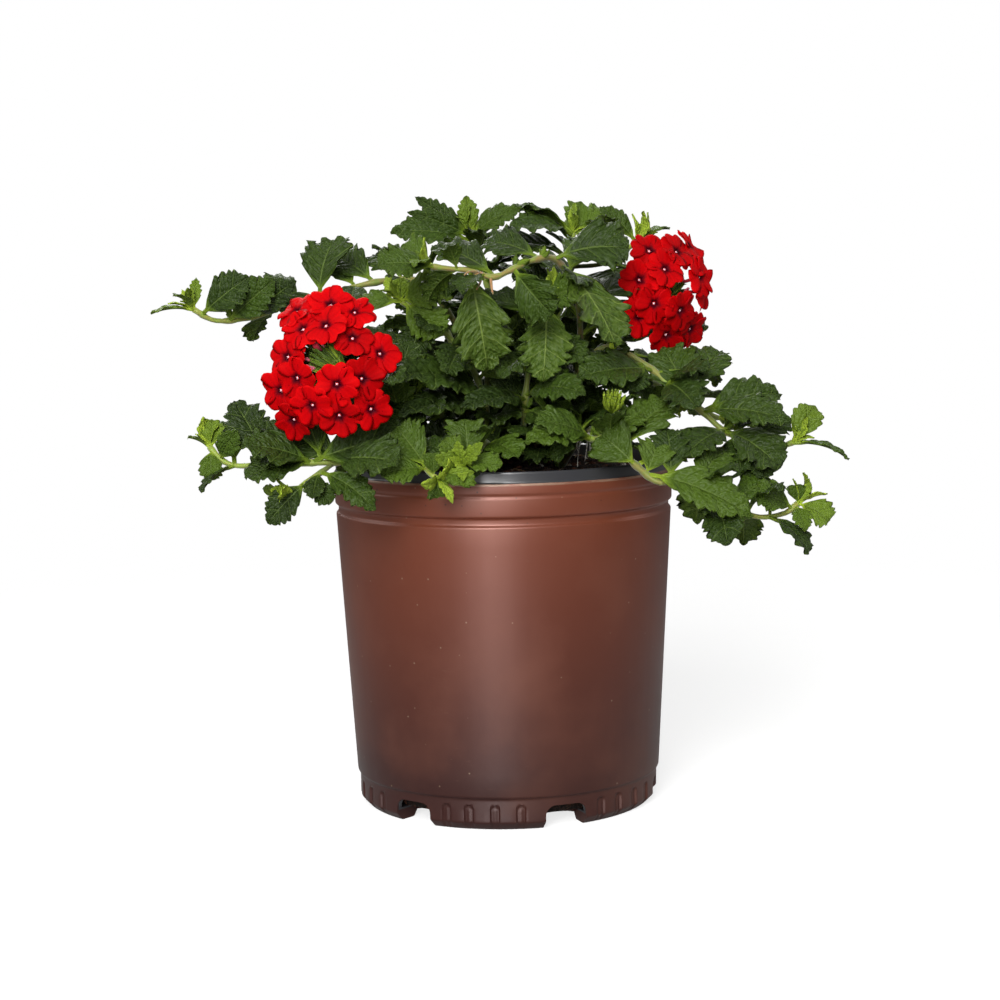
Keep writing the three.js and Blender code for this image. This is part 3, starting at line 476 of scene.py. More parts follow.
def addSkins(soup, points, uv, look, kind=0):
    # Each skin is rows of one ring with an even number of points, counter-clockwise about the way it grows.
    # Rings next to each other are joined by quads, and each end ring is zipped shut across itself.
    rows, ring = points.shape[-3:-1]
    first = addPoints(soup, points, uv, look)
    index = first + np.arange(points.size // 3).reshape(-1, rows, ring)
    quads, tris = [ringQuads(index)], []
    half = ring // 2
    near = np.arange(1, half - 1)
    for end, order in ((index[:, 0], -1), (index[:, -1], 1)):
        cap = together(end[:, near], end[:, near + 1], end[:, ring - near - 1], end[:, ring - near])
        tip = np.stack([end[:, [0, half - 1]], end[:, [1, half]], end[:, [ring - 1, half + 1]]], axis=-1)
        quads.append(cap[..., ::order].reshape(-1, 4))
        tris.append(tip[..., ::order].reshape(-1, 3))
    addFaces(soup, np.concatenate(quads), np.concatenate(tris), kind)


def addSpikes(soup, roots, ways, radius, look, kind=0):
    # A hair is a three-sided spike: root + radius (cos a, sin a) round its way, and one tip at root + way.
    side = unit(np.cross(ways, [0.31, 0.53, 0.79]))
    other = unit(np.cross(ways, side))
    turns = np.arange(3) * 2 * np.pi / 3
    out = np.cos(turns)[:, None] * side[:, None] + np.sin(turns)[:, None] * other[:, None]
    base = roots[:, None] + radius * out
    points = np.concatenate([base, (roots + ways)[:, None]], axis=1)
    first = addPoints(soup, points, (0.5, 0.5), look)
    corners = first + 4 * np.arange(len(roots))[:, None, None]
    faces = np.array([[0, 1, 3], [1, 2, 3], [2, 0, 3], [0, 2, 1]])
    addFaces(soup, np.zeros((0, 4), int), corners + faces, kind)


def unit(vectors):
    # each vector over its own length
    return vectors / np.maximum(np.linalg.norm(vectors, axis=-1, keepdims=True), 1e-9)


def pathFrames(path):
    # Tangents by central difference. The side vector is square to the tangent and to the coordinate axis
    # that the path leans to least, so it never flips, and up = tangent x side.
    tangent = unit(np.gradient(path, axis=0))
    steady = np.eye(3)[np.argmin(np.abs(tangent).max(axis=0))]
    side = unit(np.cross(tangent, steady))
    return tangent, side, np.cross(tangent, side)


def addTube(soup, path, radii, look, ring=12, ribs=0, ribDepth=0.0, kind=0):
    # Ring points: path + r (1 + ribDepth cos(ribs a)) (cos a side + sin a up), a going once round.
    side, up = pathFrames(path)[1:]
    a = np.arange(ring) * 2 * np.pi / ring
    r = np.asarray(radii)[:, None] * (1 + ribDepth * np.cos(ribs * a))
    out = np.cos(a)[:, None] * side[:, None] + np.sin(a)[:, None] * up[:, None]
    points = path[:, None] + r[..., None] * out
    length = np.concatenate([[0], np.cumsum(np.linalg.norm(np.diff(path, axis=0), axis=1))])
    uv = together(a / (2 * np.pi), length[:, None] / 10)
    look = np.asarray(look, float)
    addSkins(soup, points, uv, look[:, None] if look.ndim == 2 else look, kind)


def makePiece(name, soup, materials, nodes=()):
    # One mesh of the gathered quads and triangles, with the blade's own UV and its look: tone, youth, a third
    # share that each material reads its own way, and the place along.
    quads, tris = np.concatenate(soup["quads"]), np.concatenate(soup["tris"])
    loops = np.concatenate([quads.ravel(), tris.ravel()]).astype(np.int32)
    starts = np.concatenate([4 * np.arange(len(quads)), 4 * len(quads) + 3 * np.arange(len(tris))])
    mesh = bpy.data.meshes.new(name)
    mesh.vertices.add(soup["count"])
    mesh.vertices.foreach_set("co", (np.concatenate(soup["points"]) * mm).astype(np.float32).ravel())
    mesh.loops.add(len(loops))
    mesh.loops.foreach_set("vertex_index", loops)
    mesh.polygons.add(len(starts))
    mesh.polygons.foreach_set("loop_start", starts.astype(np.int32))
    kinds = np.concatenate(soup["quadKinds"] + soup["triKinds"])
    mesh.polygons.foreach_set("material_index", kinds.astype(np.int32))
    mesh.polygons.foreach_set("use_smooth", np.ones(len(starts), bool))
    mesh.update(calc_edges=True)
    uv = np.concatenate(soup["uv"])[loops]
    mesh.uv_layers.new(name="blade").data.foreach_set("uv", uv.astype(np.float32).ravel())
    look = mesh.attributes.new("look", "FLOAT_COLOR", "POINT")
    look.data.foreach_set("color", np.concatenate(soup["look"]).astype(np.float32).ravel())
    for material in materials:
        mesh.materials.append(material)
    mesh.validate()
    piece = placeObject(name, mesh)
    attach(piece, "root")
    if nodes:
        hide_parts(*nodes)
    print("made", name, len(quads) * 2 + len(tris), "triangles")


# ---- the shoots' routes and leaves, as in the solids ----
stemSize = {"step": 17, "root": 1.45, "tip": 0.95, "ring": 12, "rib": 0.09, "spacing": 2.2, "stalkDepth": 23}
leafSize = {"arch": 40, "fold": 0.22, "petiole": 0.14, "petioleHalf": 1.0, "solidHalf": 0.4, "same": 0.15}
shoots = {
  "left_runner": {
    "points": [
      [-12, 6, 139], [-14, 7, 152], [-18, 2, 208], [-28, -4, 229], [-40, -8, 238], [-57, -12, 237],
      [-74, -16, 233], [-93, -22, 228], [-110, -28, 223], [-125, -32, 222], [-134, -35, 227],
    ],
    "leaves": [
      [1.00, -170, -5, 19, 10, 0], [1.00, 75, 70, 15, 6, 15], [1.00, -130, 30, 14, 8, 0],
      [0.98, -15, 35, 28, 18, 85], [0.92, -35, 35, 30, 17, 100], [0.87, -30, 35, 29, 14, 95],
      [0.72, 55, 70, 27, 28, 5], [0.72, -130, -20, 23, 19, -25], [0.60, 145, 25, 27, 20, -35],
      [0.52, 130, 25, 29, 19, -30], [0.32, -125, -15, 31, 26, -50], [0.22, -110, -5, 35, 24, -20],
    ],
  },
  "top_runner": {
    "points": [
      [9, -2, 139], [11, -3, 152], [32, -14, 194], [35, -26, 219], [31, -36, 236], [24, -46, 246],
      [15, -54, 246], [5, -58, 242], [-3, -61, 239], [-13, -62, 242], [-22, -64, 243], [-29, -65, 244],
    ],
    "leaves": [
      [0.65, -55, -45, 50, 30, 0, 1], [0.68, -10, 10, 33, 30, 45], [0.73, 160, 15, 27, 22, -30],
      [0.80, -25, -45, 27, 23, 95], [0.85, 155, 25, 32, 22, -30], [0.91, 15, -80, 44, 27, 100, 1],
      [1.00, 150, 30, 17, 17, -40], [0.99, -160, 0, 26, 19, -45],
      [1.00, -120, 5, 16, 10, 0],
    ],
  },
  "top_left": {
    "points": [
      [-4, 14, 139], [-5, 15, 152], [-7, 18, 186], [-3, 22, 214], [-7, 22, 239], [-13, 18, 257],
    ],
    "leaves": [
      [1.00, 165, 35, 33, 10, -70], [1.00, -170, 25, 32, 10, -80], [1.00, 180, 85, 19, 10, -90],
      [1.00, -15, 30, 27, 14, 55], [0.98, -160, 5, 40, 18, -45],
      [0.81, -55, 35, 32, 19, 30], [0.75, -125, 10, 31, 22, -35], [0.55, -45, 40, 27, 24, -70],
      [0.46, -135, 40, 28, 26, 70],
    ],
  },
  "top_right": {
    "points": [
      [6, 15, 139], [8, 17, 152], [15, 26, 188], [26, 30, 218], [33, 28, 243], [34, 24, 258],
    ],
    "leaves": [
      [1.00, -175, 25, 32, 17, 0], [1.00, 20, 30, 21, 17, 40], [0.99, -140, 5, 39, 19, -25],
      [0.97, 45, 65, 20, 15, 45], [0.82, -135, 10, 35, 19, -25], [0.67, -40, 0, 25, 24, 75],
      [0.53, -130, 5, 24, 24, -75], [0.38, -35, 10, 29, 26, 80],
    ],
    "branches": [{
      "along": 0.87, "points": [[49, 26, 244], [63, 22, 253]],
      "leaves": [
        [1.00, 175, 45, 24, 11, -50], [1.00, 25, 20, 20, 11, 0],
      ],
    }],
  },
  "right_bloom": {
    "points": [
      [16, 4, 139], [18, 4, 152], [26, 4, 182], [40, 2, 199], [55, 0, 212], [65, 2, 222],
    ],
    "leaves": [
      [0.80, 22, 0, 44, 24, 20], [0.73, -50, 15, 28, 17, 40], [0.60, -45, -10, 26, 22, 30],
      [0.40, -45, -10, 29, 24, 65],
    ],
    "bloom": {
      "at": [79, -22, 232], "heading": -50, "rise": 6, "seed": 11, "brush": [[-5.5, -3.7], [2.5, 5]],
      "florets": [
        [-11, 18], [-9, 9], [-20, 5], [-15, -6], [-2, -10], [-5, -20], [9, -18], [2, 17], [11, 14], [13, 5],
        [20, -1], [17, 20], [-20, -11],
      ],
    },
  },
  "right_shoot": {
    "points": [
      [18, -8, 139], [21, -9, 152], [31, -28, 191], [40, -32, 204], [49, -33, 207], [65, -36, 198],
      [78, -39, 185], [86, -41, 180], [97, -43, 170], [107, -44, 166], [116, -45, 162], [126, -46, 165],
    ],
    "leaves": [
      [0.59, -145, -5, 40, 23, -40], [0.73, 130, 50, 33, 25, -40], [0.75, 10, 15, 37, 19, 45],
      [0.75, -30, -5, 42, 19, 40], [0.89, 25, 25, 22, 15, 40],
      [0.82, -40, -25, 34, 25, 30], [0.82, -120, -15, 39, 20, -20], [0.94, -120, -20, 27, 15, -25],
      [1.00, 10, 60, 19, 14, 70], [1.00, -10, -15, 26, 11, 0], [0.41, -55, -25, 28, 22, 25],
    ],
  },
  "lower_right": {
    "points": [
      [20, -20, 139], [24, -24, 151], [38, -46, 172], [49, -62, 165], [57, -72, 158], [65, -78, 152],
      [75, -76, 152], [92, -74, 143], [107, -72, 136], [119, -71, 137], [125, -70, 141],
    ],
    "leaves": [
      [0.51, 160, 40, 20, 22, -65], [0.51, 30, 20, 39, 19, 40], [0.55, 40, 50, 14, 18, 50],
      [0.55, -20, -20, 50, 22, 40], [0.98, -155, 25, 21, 17, -55],
      [1.00, 180, 85, 8, 9, -85], [1.00, -25, -25, 16, 15, 40], [0.99, -75, -35, 16, 9, 10],
    ],
  },
  "lower_left": {
    "points": [
      [-20, -18, 139], [-24, -22, 151], [-38, -46, 170], [-54, -64, 166], [-67, -76, 163], [-80, -80, 163],
      [-99, -80, 163], [-111, -78, 162], [-118, -76, 164], [-124, -74, 170],
    ],
    "leaves": [
      [1.00, -165, 25, 10, 9, 0], [0.99, 70, 75, 13, 11, 20], [0.99, -95, -65, 14, 11, -5],
      [0.95, -50, 50, 18, 11, 125], [0.81, 135, 50, 33, 19, -30], [0.72, 180, 45, 28, 13, -55],
      [0.69, -150, 15, 33, 22, -45], [0.69, -155, -10, 30, 19, -40], [0.62, -40, 0, 34, 25, 40],
    ],
    "branches": [{
      "along": 0.61, "points": [[-78, -84, 158], [-87, -87, 152]],
      "leaves": [
        [0.75, -165, -40, 24, 14, -70], [0.49, -100, -35, 16, 10, -5], [0.44, -30, -25, 32, 15, 35],
        [0.75, -30, -25, 15, 11, 35],
      ],
    }],
  },
  "left_bloom": {
    "points": [
      [-18, -6, 139], [-20, -7, 152], [-28, -36, 181], [-43, -54, 192], [-55, -66, 200], [-66, -74, 204],
    ],
    "leaves": [
      [0.72, 40, 65, 21, 15, 50], [0.72, 110, 35, 33, 17, -15], [0.48, -120, -10, 48, 19, -25],
      [0.87, -60, -15, 34, 17, 25],
    ],
    "bloom": {
      "at": [-71, -97, 207], "heading": -95, "rise": 12, "seed": 10, "brush": [[6, -4.6], [-6.5, 5]],
      "bare": 60,
      "florets": [
        [4, -11], [14, -8], [-7, -19], [4, -23], [17, -20], [21, 3], [10, 9], [-13, -8], [-21, -12], [-18, 2],
        [0, 24], [-1, 14], [-11, 13], [10, 21], [-16, -24], [-15, 22],
      ],
    },
  },
  "front": {
    "points": [
      [-4, -22, 139], [-5, -26, 151], [-7, -52, 168], [-11, -66, 164], [-16, -76, 162], [-17, -82, 161],
    ],
    "leaves": [
      [0.52, -60, -5, 28, 18, 25], [0.89, 85, 65, 18, 19, 5], [0.97, 180, 55, 13, 13, -60],
      [0.99, -25, 0, 18, 13, 40], [1.00, -100, -35, 13, 14, -10],
    ],
    "branches": [{
      "along": 0.7, "points": [[-23, -74, 162], [-32, -81, 160], [-28, -87, 156]],
      "leaves": [
        [0.80, 165, 50, 22, 20, -50], [0.99, -60, -70, 8, 11, 25], [0.94, -80, 75, 10, 10, 170],
        [0.80, -145, -5, 22, 17, -40],
      ],
    }],
  },
  "inner_left": {
    "points": [
      [-6, -10, 139], [-7, -12, 152], [-8, -24, 185], [-18, -28, 207], [-32, -32, 221], [-43, -36, 229],
    ],
    "leaves": [
      [1.00, -25, 20, 21, 18, 85], [0.99, -30, -40, 24, 19, 60], [1.00, -175, 85, 10, 9, -95],
      [1.00, 165, -10, 25, 17, -45], [0.87, -115, -35, 23, 17, -30], [0.68, -120, 0, 38, 19, -25],
      [0.46, -135, 10, 64, 25, -40], [0.40, -125, 0, 65, 19, -30], [0.54, -50, 30, 22, 20, -75],
      [0.43, -125, 30, 29, 22, 75],
    ],
  },
  "inner_right": {
    "points": [
      [6, -12, 139], [8, -15, 152], [10, -34, 183], [13, -34, 205], [17, -34, 221], [20, -36, 228],
    ],
    "leaves": [
      [1.00, -90, -60, 40, 25, 0, 1], [1.00, -45, 15, 21, 17, 85], [0.75, -45, 5, 30, 20, 35],
      [0.73, -120, -10, 32, 18, -20], [0.56, -50, 5, 43, 19, 35], [0.54, -125, -5, 45, 17, -30],
      [0.48, -55, -15, 32, 22, 25],
    ],
  },
  "front_right": {
    "points": [
      [9, -22, 139], [11, -26, 151], [25, -44, 172], [38, -56, 169], [44, -62, 171], [49, -64, 178],
      [48, -64, 183],
    ],
    "leaves": [
      [0.73, -140, 15, 32, 19, -45], [0.73, -140, 0, 36, 17, -35], [0.52, -130, 15, 25, 17, -40],
      [0.80, 5, 30, 21, 18, 45],
    ],
    "buds": { "at": [48, -67, 189], "heading": -80, "rise": 55, "radius": 4.6, "length": 7 },
  },
}

# The far side: a plane route of [reach from the pot's axis, height over the rim] at one heading, with leaves
# spread to either side, [along, turn from the heading, length].
potHeight = 157.5
farKinds = {
    "sprawling": {
        "route": lambda reach, rise: [[21, -19], [23, -5], [0.3 * reach, 0.6 * rise], [0.52 * reach, rise],
                                      [0.78 * reach, 0.72 * rise], [reach, 0.35 * rise]],
        "leaves": [[0.45, 60, 38], [0.6, -60, 38], [0.75, 50, 32], [0.85, -45, 30], [1, 10, 25]],
    },
    "upright": {
        "route": lambda reach, rise: [[27, -19], [28, -5], [28 + 0.2 * (reach - 28), 0.4 * rise],
                                      [28 + 0.55 * (reach - 28), 0.8 * rise], [reach, rise]],
        "leaves": [[0.45, 60, 36], [0.62, -75, 34], [0.76, 40, 32], [0.88, -60, 32], [1, 10, 28]],
    },
}
farShoots = {
    "far_1": ("sprawling", 20, 108, 36), "far_2": ("sprawling", 46, 116, 46),
    "far_3": ("sprawling", 90, 120, 50), "far_4": ("sprawling", 126, 114, 46),
    "far_5": ("sprawling", 154, 106, 36),
    "tall_1": ("upright", 122, 64, 70), "tall_2": ("upright", 58, 62, 66),
}
leafVary = {"turn": 16, "rise": 20, "droop": 30, "lift": 4, "size": 0.2, "width": 0.68, "roll": 12}
leafTurns = [
    [0, 0], [0, 8], [0, -8], [9, 0], [-9, 0], [9, 8], [-9, 8], [9, -8], [-9, -8], [0, 17], [0, -17],
    [19, 0], [-19, 0], [19, 14], [-19, 14], [19, -14], [-19, -14], [0, 28], [0, -28], [34, 8], [-34, 8],
]
leafBends = np.array([[share, turn, lift] for share in (1, 0.85, 0.7) for turn, lift in leafTurns])


def solidNoise(i, j):
    # the solids' own noise: the fraction of a large sine
    s = math.sin(i * 12.9898 + j * 78.233) * 43758.5453
    return s - math.floor(s)


def addFarShoots():
    # each route turned to its heading, with every leaf's lift, size and heading varied by the solids' noise
    for seed, (name, (kind, heading, reach, rise)) in enumerate(farShoots.items()):
        c, s = math.cos(math.radians(heading)), math.sin(math.radians(heading))
        leaves = []
        for i, (along, spread, length) in enumerate(farKinds[kind]["leaves"]):
            lift = leafVary["lift"] - leafVary["droop"] * (along - 0.5)
            lift += leafVary["rise"] * (solidNoise(i, seed + 9) - 0.5)
            size = length * (1 + leafVary["size"] * (solidNoise(i, seed + 5) - 0.5))
            turn = heading + spread + leafVary["turn"] * (solidNoise(i, seed) - 0.5)
            roll = leafVary["roll"] * np.sign(spread)
            leaves.append([along, turn, lift, size, size * leafVary["width"], roll])
        route = farKinds[kind]["route"](reach, rise)
        shoots[name] = {"points": [[r * c, r * s, potHeight + z] for r, z in route], "leaves": leaves}


def leafAxes(heading, rise, roll=0):
    # along points where the leaf grows, side lies level across it, up = along x side, both turned by roll
    h, e, r = (np.radians(angle) for angle in (heading, rise, roll))
    along = together(np.cos(e) * np.cos(h), np.cos(e) * np.sin(h), np.sin(e))
    side = together(-np.sin(h), np.cos(h), 0 * e)
    up = np.cross(along, side)
    return along, side * np.cos(r) + up * np.sin(r), up * np.cos(r) - side * np.sin(r)


def makeRoute(points):
    # Catmull-Rom: between two points, a cubic whose end slopes are half the chord of their neighbours, with
    # the end points mirrored. It is then read at shares of its own length, measured over 200 chords.
    p = np.array(points, float)
    p = np.concatenate([[2 * p[0] - p[1]], p, [2 * p[-1] - p[-2]]])
    t = np.linspace(0, len(p) - 3, 201)
    k = np.minimum(t.astype(int), len(p) - 4)
    w = (t - k)[:, None]
    m0, m1 = 0.5 * (p[k + 2] - p[k]), 0.5 * (p[k + 3] - p[k + 1])
    low, high = p[k + 1], p[k + 2]
    line = low + m0 * w + (3 * (high - low) - 2 * m0 - m1) * w ** 2 + (2 * (low - high) + m0 + m1) * w ** 3
    length = np.concatenate([[0], np.cumsum(np.linalg.norm(np.diff(line, axis=0), axis=1))])
    return {"line": line, "share": length / length[-1], "length": length[-1]}


def onRoute(route, along):
    # straight between the two nearest of the 201 points
    return np.stack([np.interp(along, route["share"], route["line"][:, k]) for k in range(3)], axis=-1)


def onSteps(route, along):
    # the same place on the straight steps of the solid stem
    steps = math.ceil(route["length"] / stemSize["step"])
    i = min(int(along * steps), steps - 1)
    low, high = onRoute(route, i / steps), onRoute(route, (i + 1) / steps)
    return low + (high - low) * (along * steps - i)


def chosenBend(corners, base, leaf):
    # The solid leaf stands at the first of the bends whose tip corner is a corner of the node's own mesh.
    heading, rise, length = leaf[1:4]
    share, turn, lift = leafBends.T
    axis, up = leafAxes(heading + turn, rise + lift, leaf[5])[::2]
    half = math.radians(leafSize["arch"]) / 2
    reach = length * share * math.sin(half) / half + leafSize["solidHalf"] * math.sin(half)
    tips = base + axis * reach[:, None] + up * leafSize["solidHalf"] * math.cos(half)
    gaps = np.linalg.norm(tips[:, None] - corners[None], axis=2).min(axis=1)
    found = np.flatnonzero(gaps < leafSize["same"])
    return leafBends[found[0] if len(found) else np.argmin(gaps)]


def cornersOf(node):
    # the corners of the node's own mesh, in millimetres and without repeats
    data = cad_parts[node].data
    corners = np.empty(len(data.vertices) * 3, np.float32)
    data.vertices.foreach_get("co", corners)
    return np.unique(np.round(corners.reshape(-1, 3) / mm, 2), axis=0)


def headAxes(bloom):
    # the head's top, the way it faces, and its side and up
    axis, side, up = leafAxes(bloom["heading"], bloom["rise"])
    return np.array(bloom["at"], float), axis, side, up


def stemsOf(shoot):
    # the main stem, which a flower head draws on to its stalk, and then its branches
    points = list(shoot["points"])
    if "bloom" in shoot:
        top, axis = headAxes(shoot["bloom"])[:2]
        points.append((top - axis * stemSize["stalkDepth"]).tolist())
    main = makeRoute(points)
    stems = [{"route": main, "leaves": shoot["leaves"], "root": stemSize["root"]}]
    for branch in shoot.get("branches", []):
        fork = onSteps(main, branch["along"]).tolist()
        stems.append({"route": makeRoute([fork] + branch["points"]), "leaves": branch["leaves"],
                      "root": stemSize["tip"]})
    return stems


# ---- leaves ----
leafMake = {
    "stalkRows": (0, 0.05, 0.1), "wedge": 0.17, "toothDepth": 0.32, "toothVary": 0.45, "toothShear": 0.75,
    "bigLeaf": 34, "bigTeeth": 8, "smallLeaf": 20, "teeth": 7, "smallTeeth": 5,
    "quilt": 1.35, "quiltAt": 40, "veinAt": 0.65, "cup": 0.3, "wave": 0.13, "waves": 0.8, "bend": (-10, 28),
    "sway": 0.18, "twist": 16, "skin": 0.2, "stalkSkin": 0.75, "rib": 0.5, "ribHalf": 0.7, "innerShadedTone": 0.45,
    "stalkYoung": 0.55, "hairs": 46, "hairLength": (0.35, 0.8), "hairRadius": 0.04, "hairYoung": 0.35,
}
leafGrids = {
    # columns run from the midrib to the margin, rows from one notch of the margin to the next
    "full": {"columns": (0, 0.08, 0.24, 0.42, 0.6, 0.78, 0.91, 1), "rows": (0, 0.32, 0.6, 0.84)},
    "inner": {"columns": (0, 0.12, 0.4, 0.7, 0.9, 1), "rows": (0, 0.4, 0.75)},
    "tip": {"columns": (0, 0.35, 0.8, 1), "rows": (0, 0.4, 0.75)},
    "bud": {"columns": (0, 0.4, 1), "rows": (0, 0.45, 0.8)},
}


def bladeShape(t):
    # half width as a share of the greatest: the solid's sin(pi t^0.62)^0.85, drawn in to a wedge at its base
    return np.sin(np.pi * np.clip(t, 0, 1) ** 0.62) ** 0.85 * np.clip(t / leafMake["wedge"], 0, 1) ** 0.42


def addLeaf(soup, base, heading, rise, length, width, roll, rng, young=0.0, flipped=False, teeth=None,
            grid="full"):
    # Rows run from the base to the tip, each a flat ring across the blade. A row's points are swept forward
    # with |across|, the margin is drawn in between teeth, the middle line arcs down by 40 degrees or so, the
    # blade folds along it, and between the side veins it bulges by |sin(pi (count - veinAt))|.
    m, p = leafMake, leafSize["petiole"]
    size = "bigTeeth" if length > m["bigLeaf"] else "teeth" if length > m["smallLeaf"] else "smallTeeth"
    teeth = teeth or m[size]
    count = (np.arange(teeth)[:, None] + np.array(leafGrids[grid]["rows"])).ravel()
    t = np.concatenate([np.zeros(3), count / teeth, [1]])[:, None]
    count = np.concatenate([[-0.35] * 3, count, [teeth]])[:, None]
    v = np.concatenate([np.array(m["stalkRows"]), p + (1 - p) * t[3:, 0]])[:, None]
    columns = np.array(leafGrids[grid]["columns"])
    n = len(columns)
    across = np.concatenate([columns[::-1], -columns[1:], -columns[-2:0:-1], columns[:-1]])
    face = np.concatenate([np.ones(2 * n - 1), -np.ones(2 * n - 3)]) * (np.abs(across) < 1)
    u = np.abs(across)
    phase = count - np.floor(count)
    tooth = np.clip(np.sin(np.pi * phase ** 1.6), 0, 1) ** 0.55
    depth = m["toothDepth"] * np.clip((t - 0.06) / 0.2, 0, 1) * (1 - 0.25 * t)
    # no two teeth alike: each is cut deeper or shallower, on either side by itself
    uneven = 1 + m["toothVary"] * rng.uniform(-1, 1, (2, teeth + 2))
    number = np.clip(count, 0, teeth).astype(int)
    depth = depth * np.where(across < 0, uneven[0][number], uneven[1][number])
    reach = bladeShape(t)
    half = width / 2 * reach * (1 - depth * (1 - tooth) * u ** 3)
    half = half + leafSize["petioleHalf"] * min(1, length / 25) * (1 - t) ** 3
    y = half * across
    v = v + m["toothShear"] * width / 2 * reach * u ** 1.2 / length
    bend = rng.uniform(*m["bend"])
    sway, twist = (rng.uniform(-1, 1) * m[key] for key in ("sway", "twist"))
    steps = np.linspace(0, 1.15, 47)
    slope = np.radians(leafSize["arch"]) * (0.5 - steps)
    slope = slope - np.radians(bend) * np.clip(steps - 0.35, 0, 1) ** 1.5
    chord = length * (steps[1] - steps[0])
    lineX = np.concatenate([[0], np.cumsum(np.cos((slope[1:] + slope[:-1]) / 2))]) * chord
    lineZ = np.concatenate([[0], np.cumsum(np.sin((slope[1:] + slope[:-1]) / 2))]) * chord
    angle, x, z = (np.interp(v, steps, line) for line in (slope, lineX, lineZ))
    blade = np.clip(t * 8, 0, 1)
    bulge = np.abs(np.sin(np.pi * (count - m["veinAt"]))) ** 0.7 * (4 * u * (1 - u)) ** 0.5 * blade
    quilt = m["quilt"] * length / m["quiltAt"] * (-1 if flipped else 1)
    ripple = np.sin(np.pi * count * m["waves"] + rng.uniform(0, 6))
    lift = leafSize["fold"] * (np.abs(y) - m["cup"] * y ** 2 / (width / 2)) + quilt * bulge
    lift = lift + m["wave"] * width / 2 * u ** 3 * ripple * blade
    turn = np.radians(twist) * (v - 0.3)
    y, lift = y * np.cos(turn) - lift * np.sin(turn), y * np.sin(turn) + lift * np.cos(turn)
    skin = m["skin"] * blade + m["stalkSkin"] * min(1, length / 30) * (1 - blade)
    skin = skin * (1 - u ** 2) ** 0.5 + m["rib"] * (face < 0) * np.exp(-(y / m["ribHalf"]) ** 2) * (1 - t)
    lift = lift + face * skin
    y = y + sway * length * np.clip(v, 0, 2) ** 2 / 2
    axis, side, up = leafAxes(heading, rise, roll)
    x, z = x - lift * np.sin(angle), z + lift * np.cos(angle)
    points = base + x[..., None] * axis + y[..., None] * side + z[..., None] * up
    uv = together((across + 1) / 2, count)
    under = (1 - face) / 2
    # leaves off the full grid, the pairs that crowd the core and the tufts, take only the darker part of the
    # tone range: partly older leaves, partly painted shade in the deep core
    tone = rng.uniform(0, 1) * (1 if grid == "full" else m["innerShadedTone"])
    early = np.clip(young + m["stalkYoung"] * (1 - blade), 0, 1)
    look = together(tone, early, 1 - under if flipped else under, t)
    addSkins(soup, points, uv, look)
    if grid == "full":
        # down along both margins, leaning outwards and on towards the tip
        hairs = m["hairs"]
        edge, row = rng.choice([0, 2 * n - 2], hairs), rng.integers(4, len(t) - 1, hairs)
        inner = np.where(edge == 0, 1, 2 * n - 3)
        at = points[row, edge]
        roots = at + (points[row + 1, edge] - at) * rng.uniform(0, 1, (hairs, 1))
        ways = unit(unit(at - points[row, inner]) + 0.5 * rng.normal(size=roots.shape) + 0.3 * axis)
        ways = ways * rng.uniform(*m["hairLength"], (hairs, 1))
        pale = min(1, early.mean() + m["hairYoung"])
        addSpikes(soup, roots - ways * 0.1, ways, m["hairRadius"], (0.8, pale, 0, 0))


tuftMake = {
    "spread": 50, "closing": 10, "shorter": 0.16, "size": (0.85, 1.15), "width": (0.36, 0.5),
    "young": (0.45, 1), "teeth": 4,
}


def addTuft(soup, base, way, size, rng, count=4, bright=1.0, grid="bud"):
    # young leaves crowd round a growing tip: pairs at right angles, each pair smaller and steeper, with the
    # upper face of every leaf turned to the tip's axis
    m = tuftMake
    heading = math.degrees(math.atan2(way[1], way[0]))
    rise = math.degrees(math.asin(np.clip(way[2], -1, 1)))
    for k in range(count):
        pair, side = k // 2, 1 if k % 2 else -1
        spread = (m["spread"] - m["closing"] * pair) * side
        across, lift, roll = (spread, 0, 90 * side) if pair % 2 == 0 else (0, spread, 180 * (side > 0))
        length = size * (1 - m["shorter"] * pair) * rng.uniform(*m["size"])
        addLeaf(soup, base, heading + across + rng.uniform(-12, 12), rise + lift + rng.uniform(-8, 12) + 10,
                length, length * rng.uniform(*m["width"]), roll + rng.uniform(-35, 35), rng,
                young=bright * rng.uniform(*m["young"]), teeth=m["teeth"], grid=grid)


# ---- stems ----
stemMake = {
    "node": 0.42, "nodeHalf": 2.4, "uneven": 0.04, "hairs": 2.4, "hairLength": (0.5, 1.1),
    "hairRadius": 0.045,
}


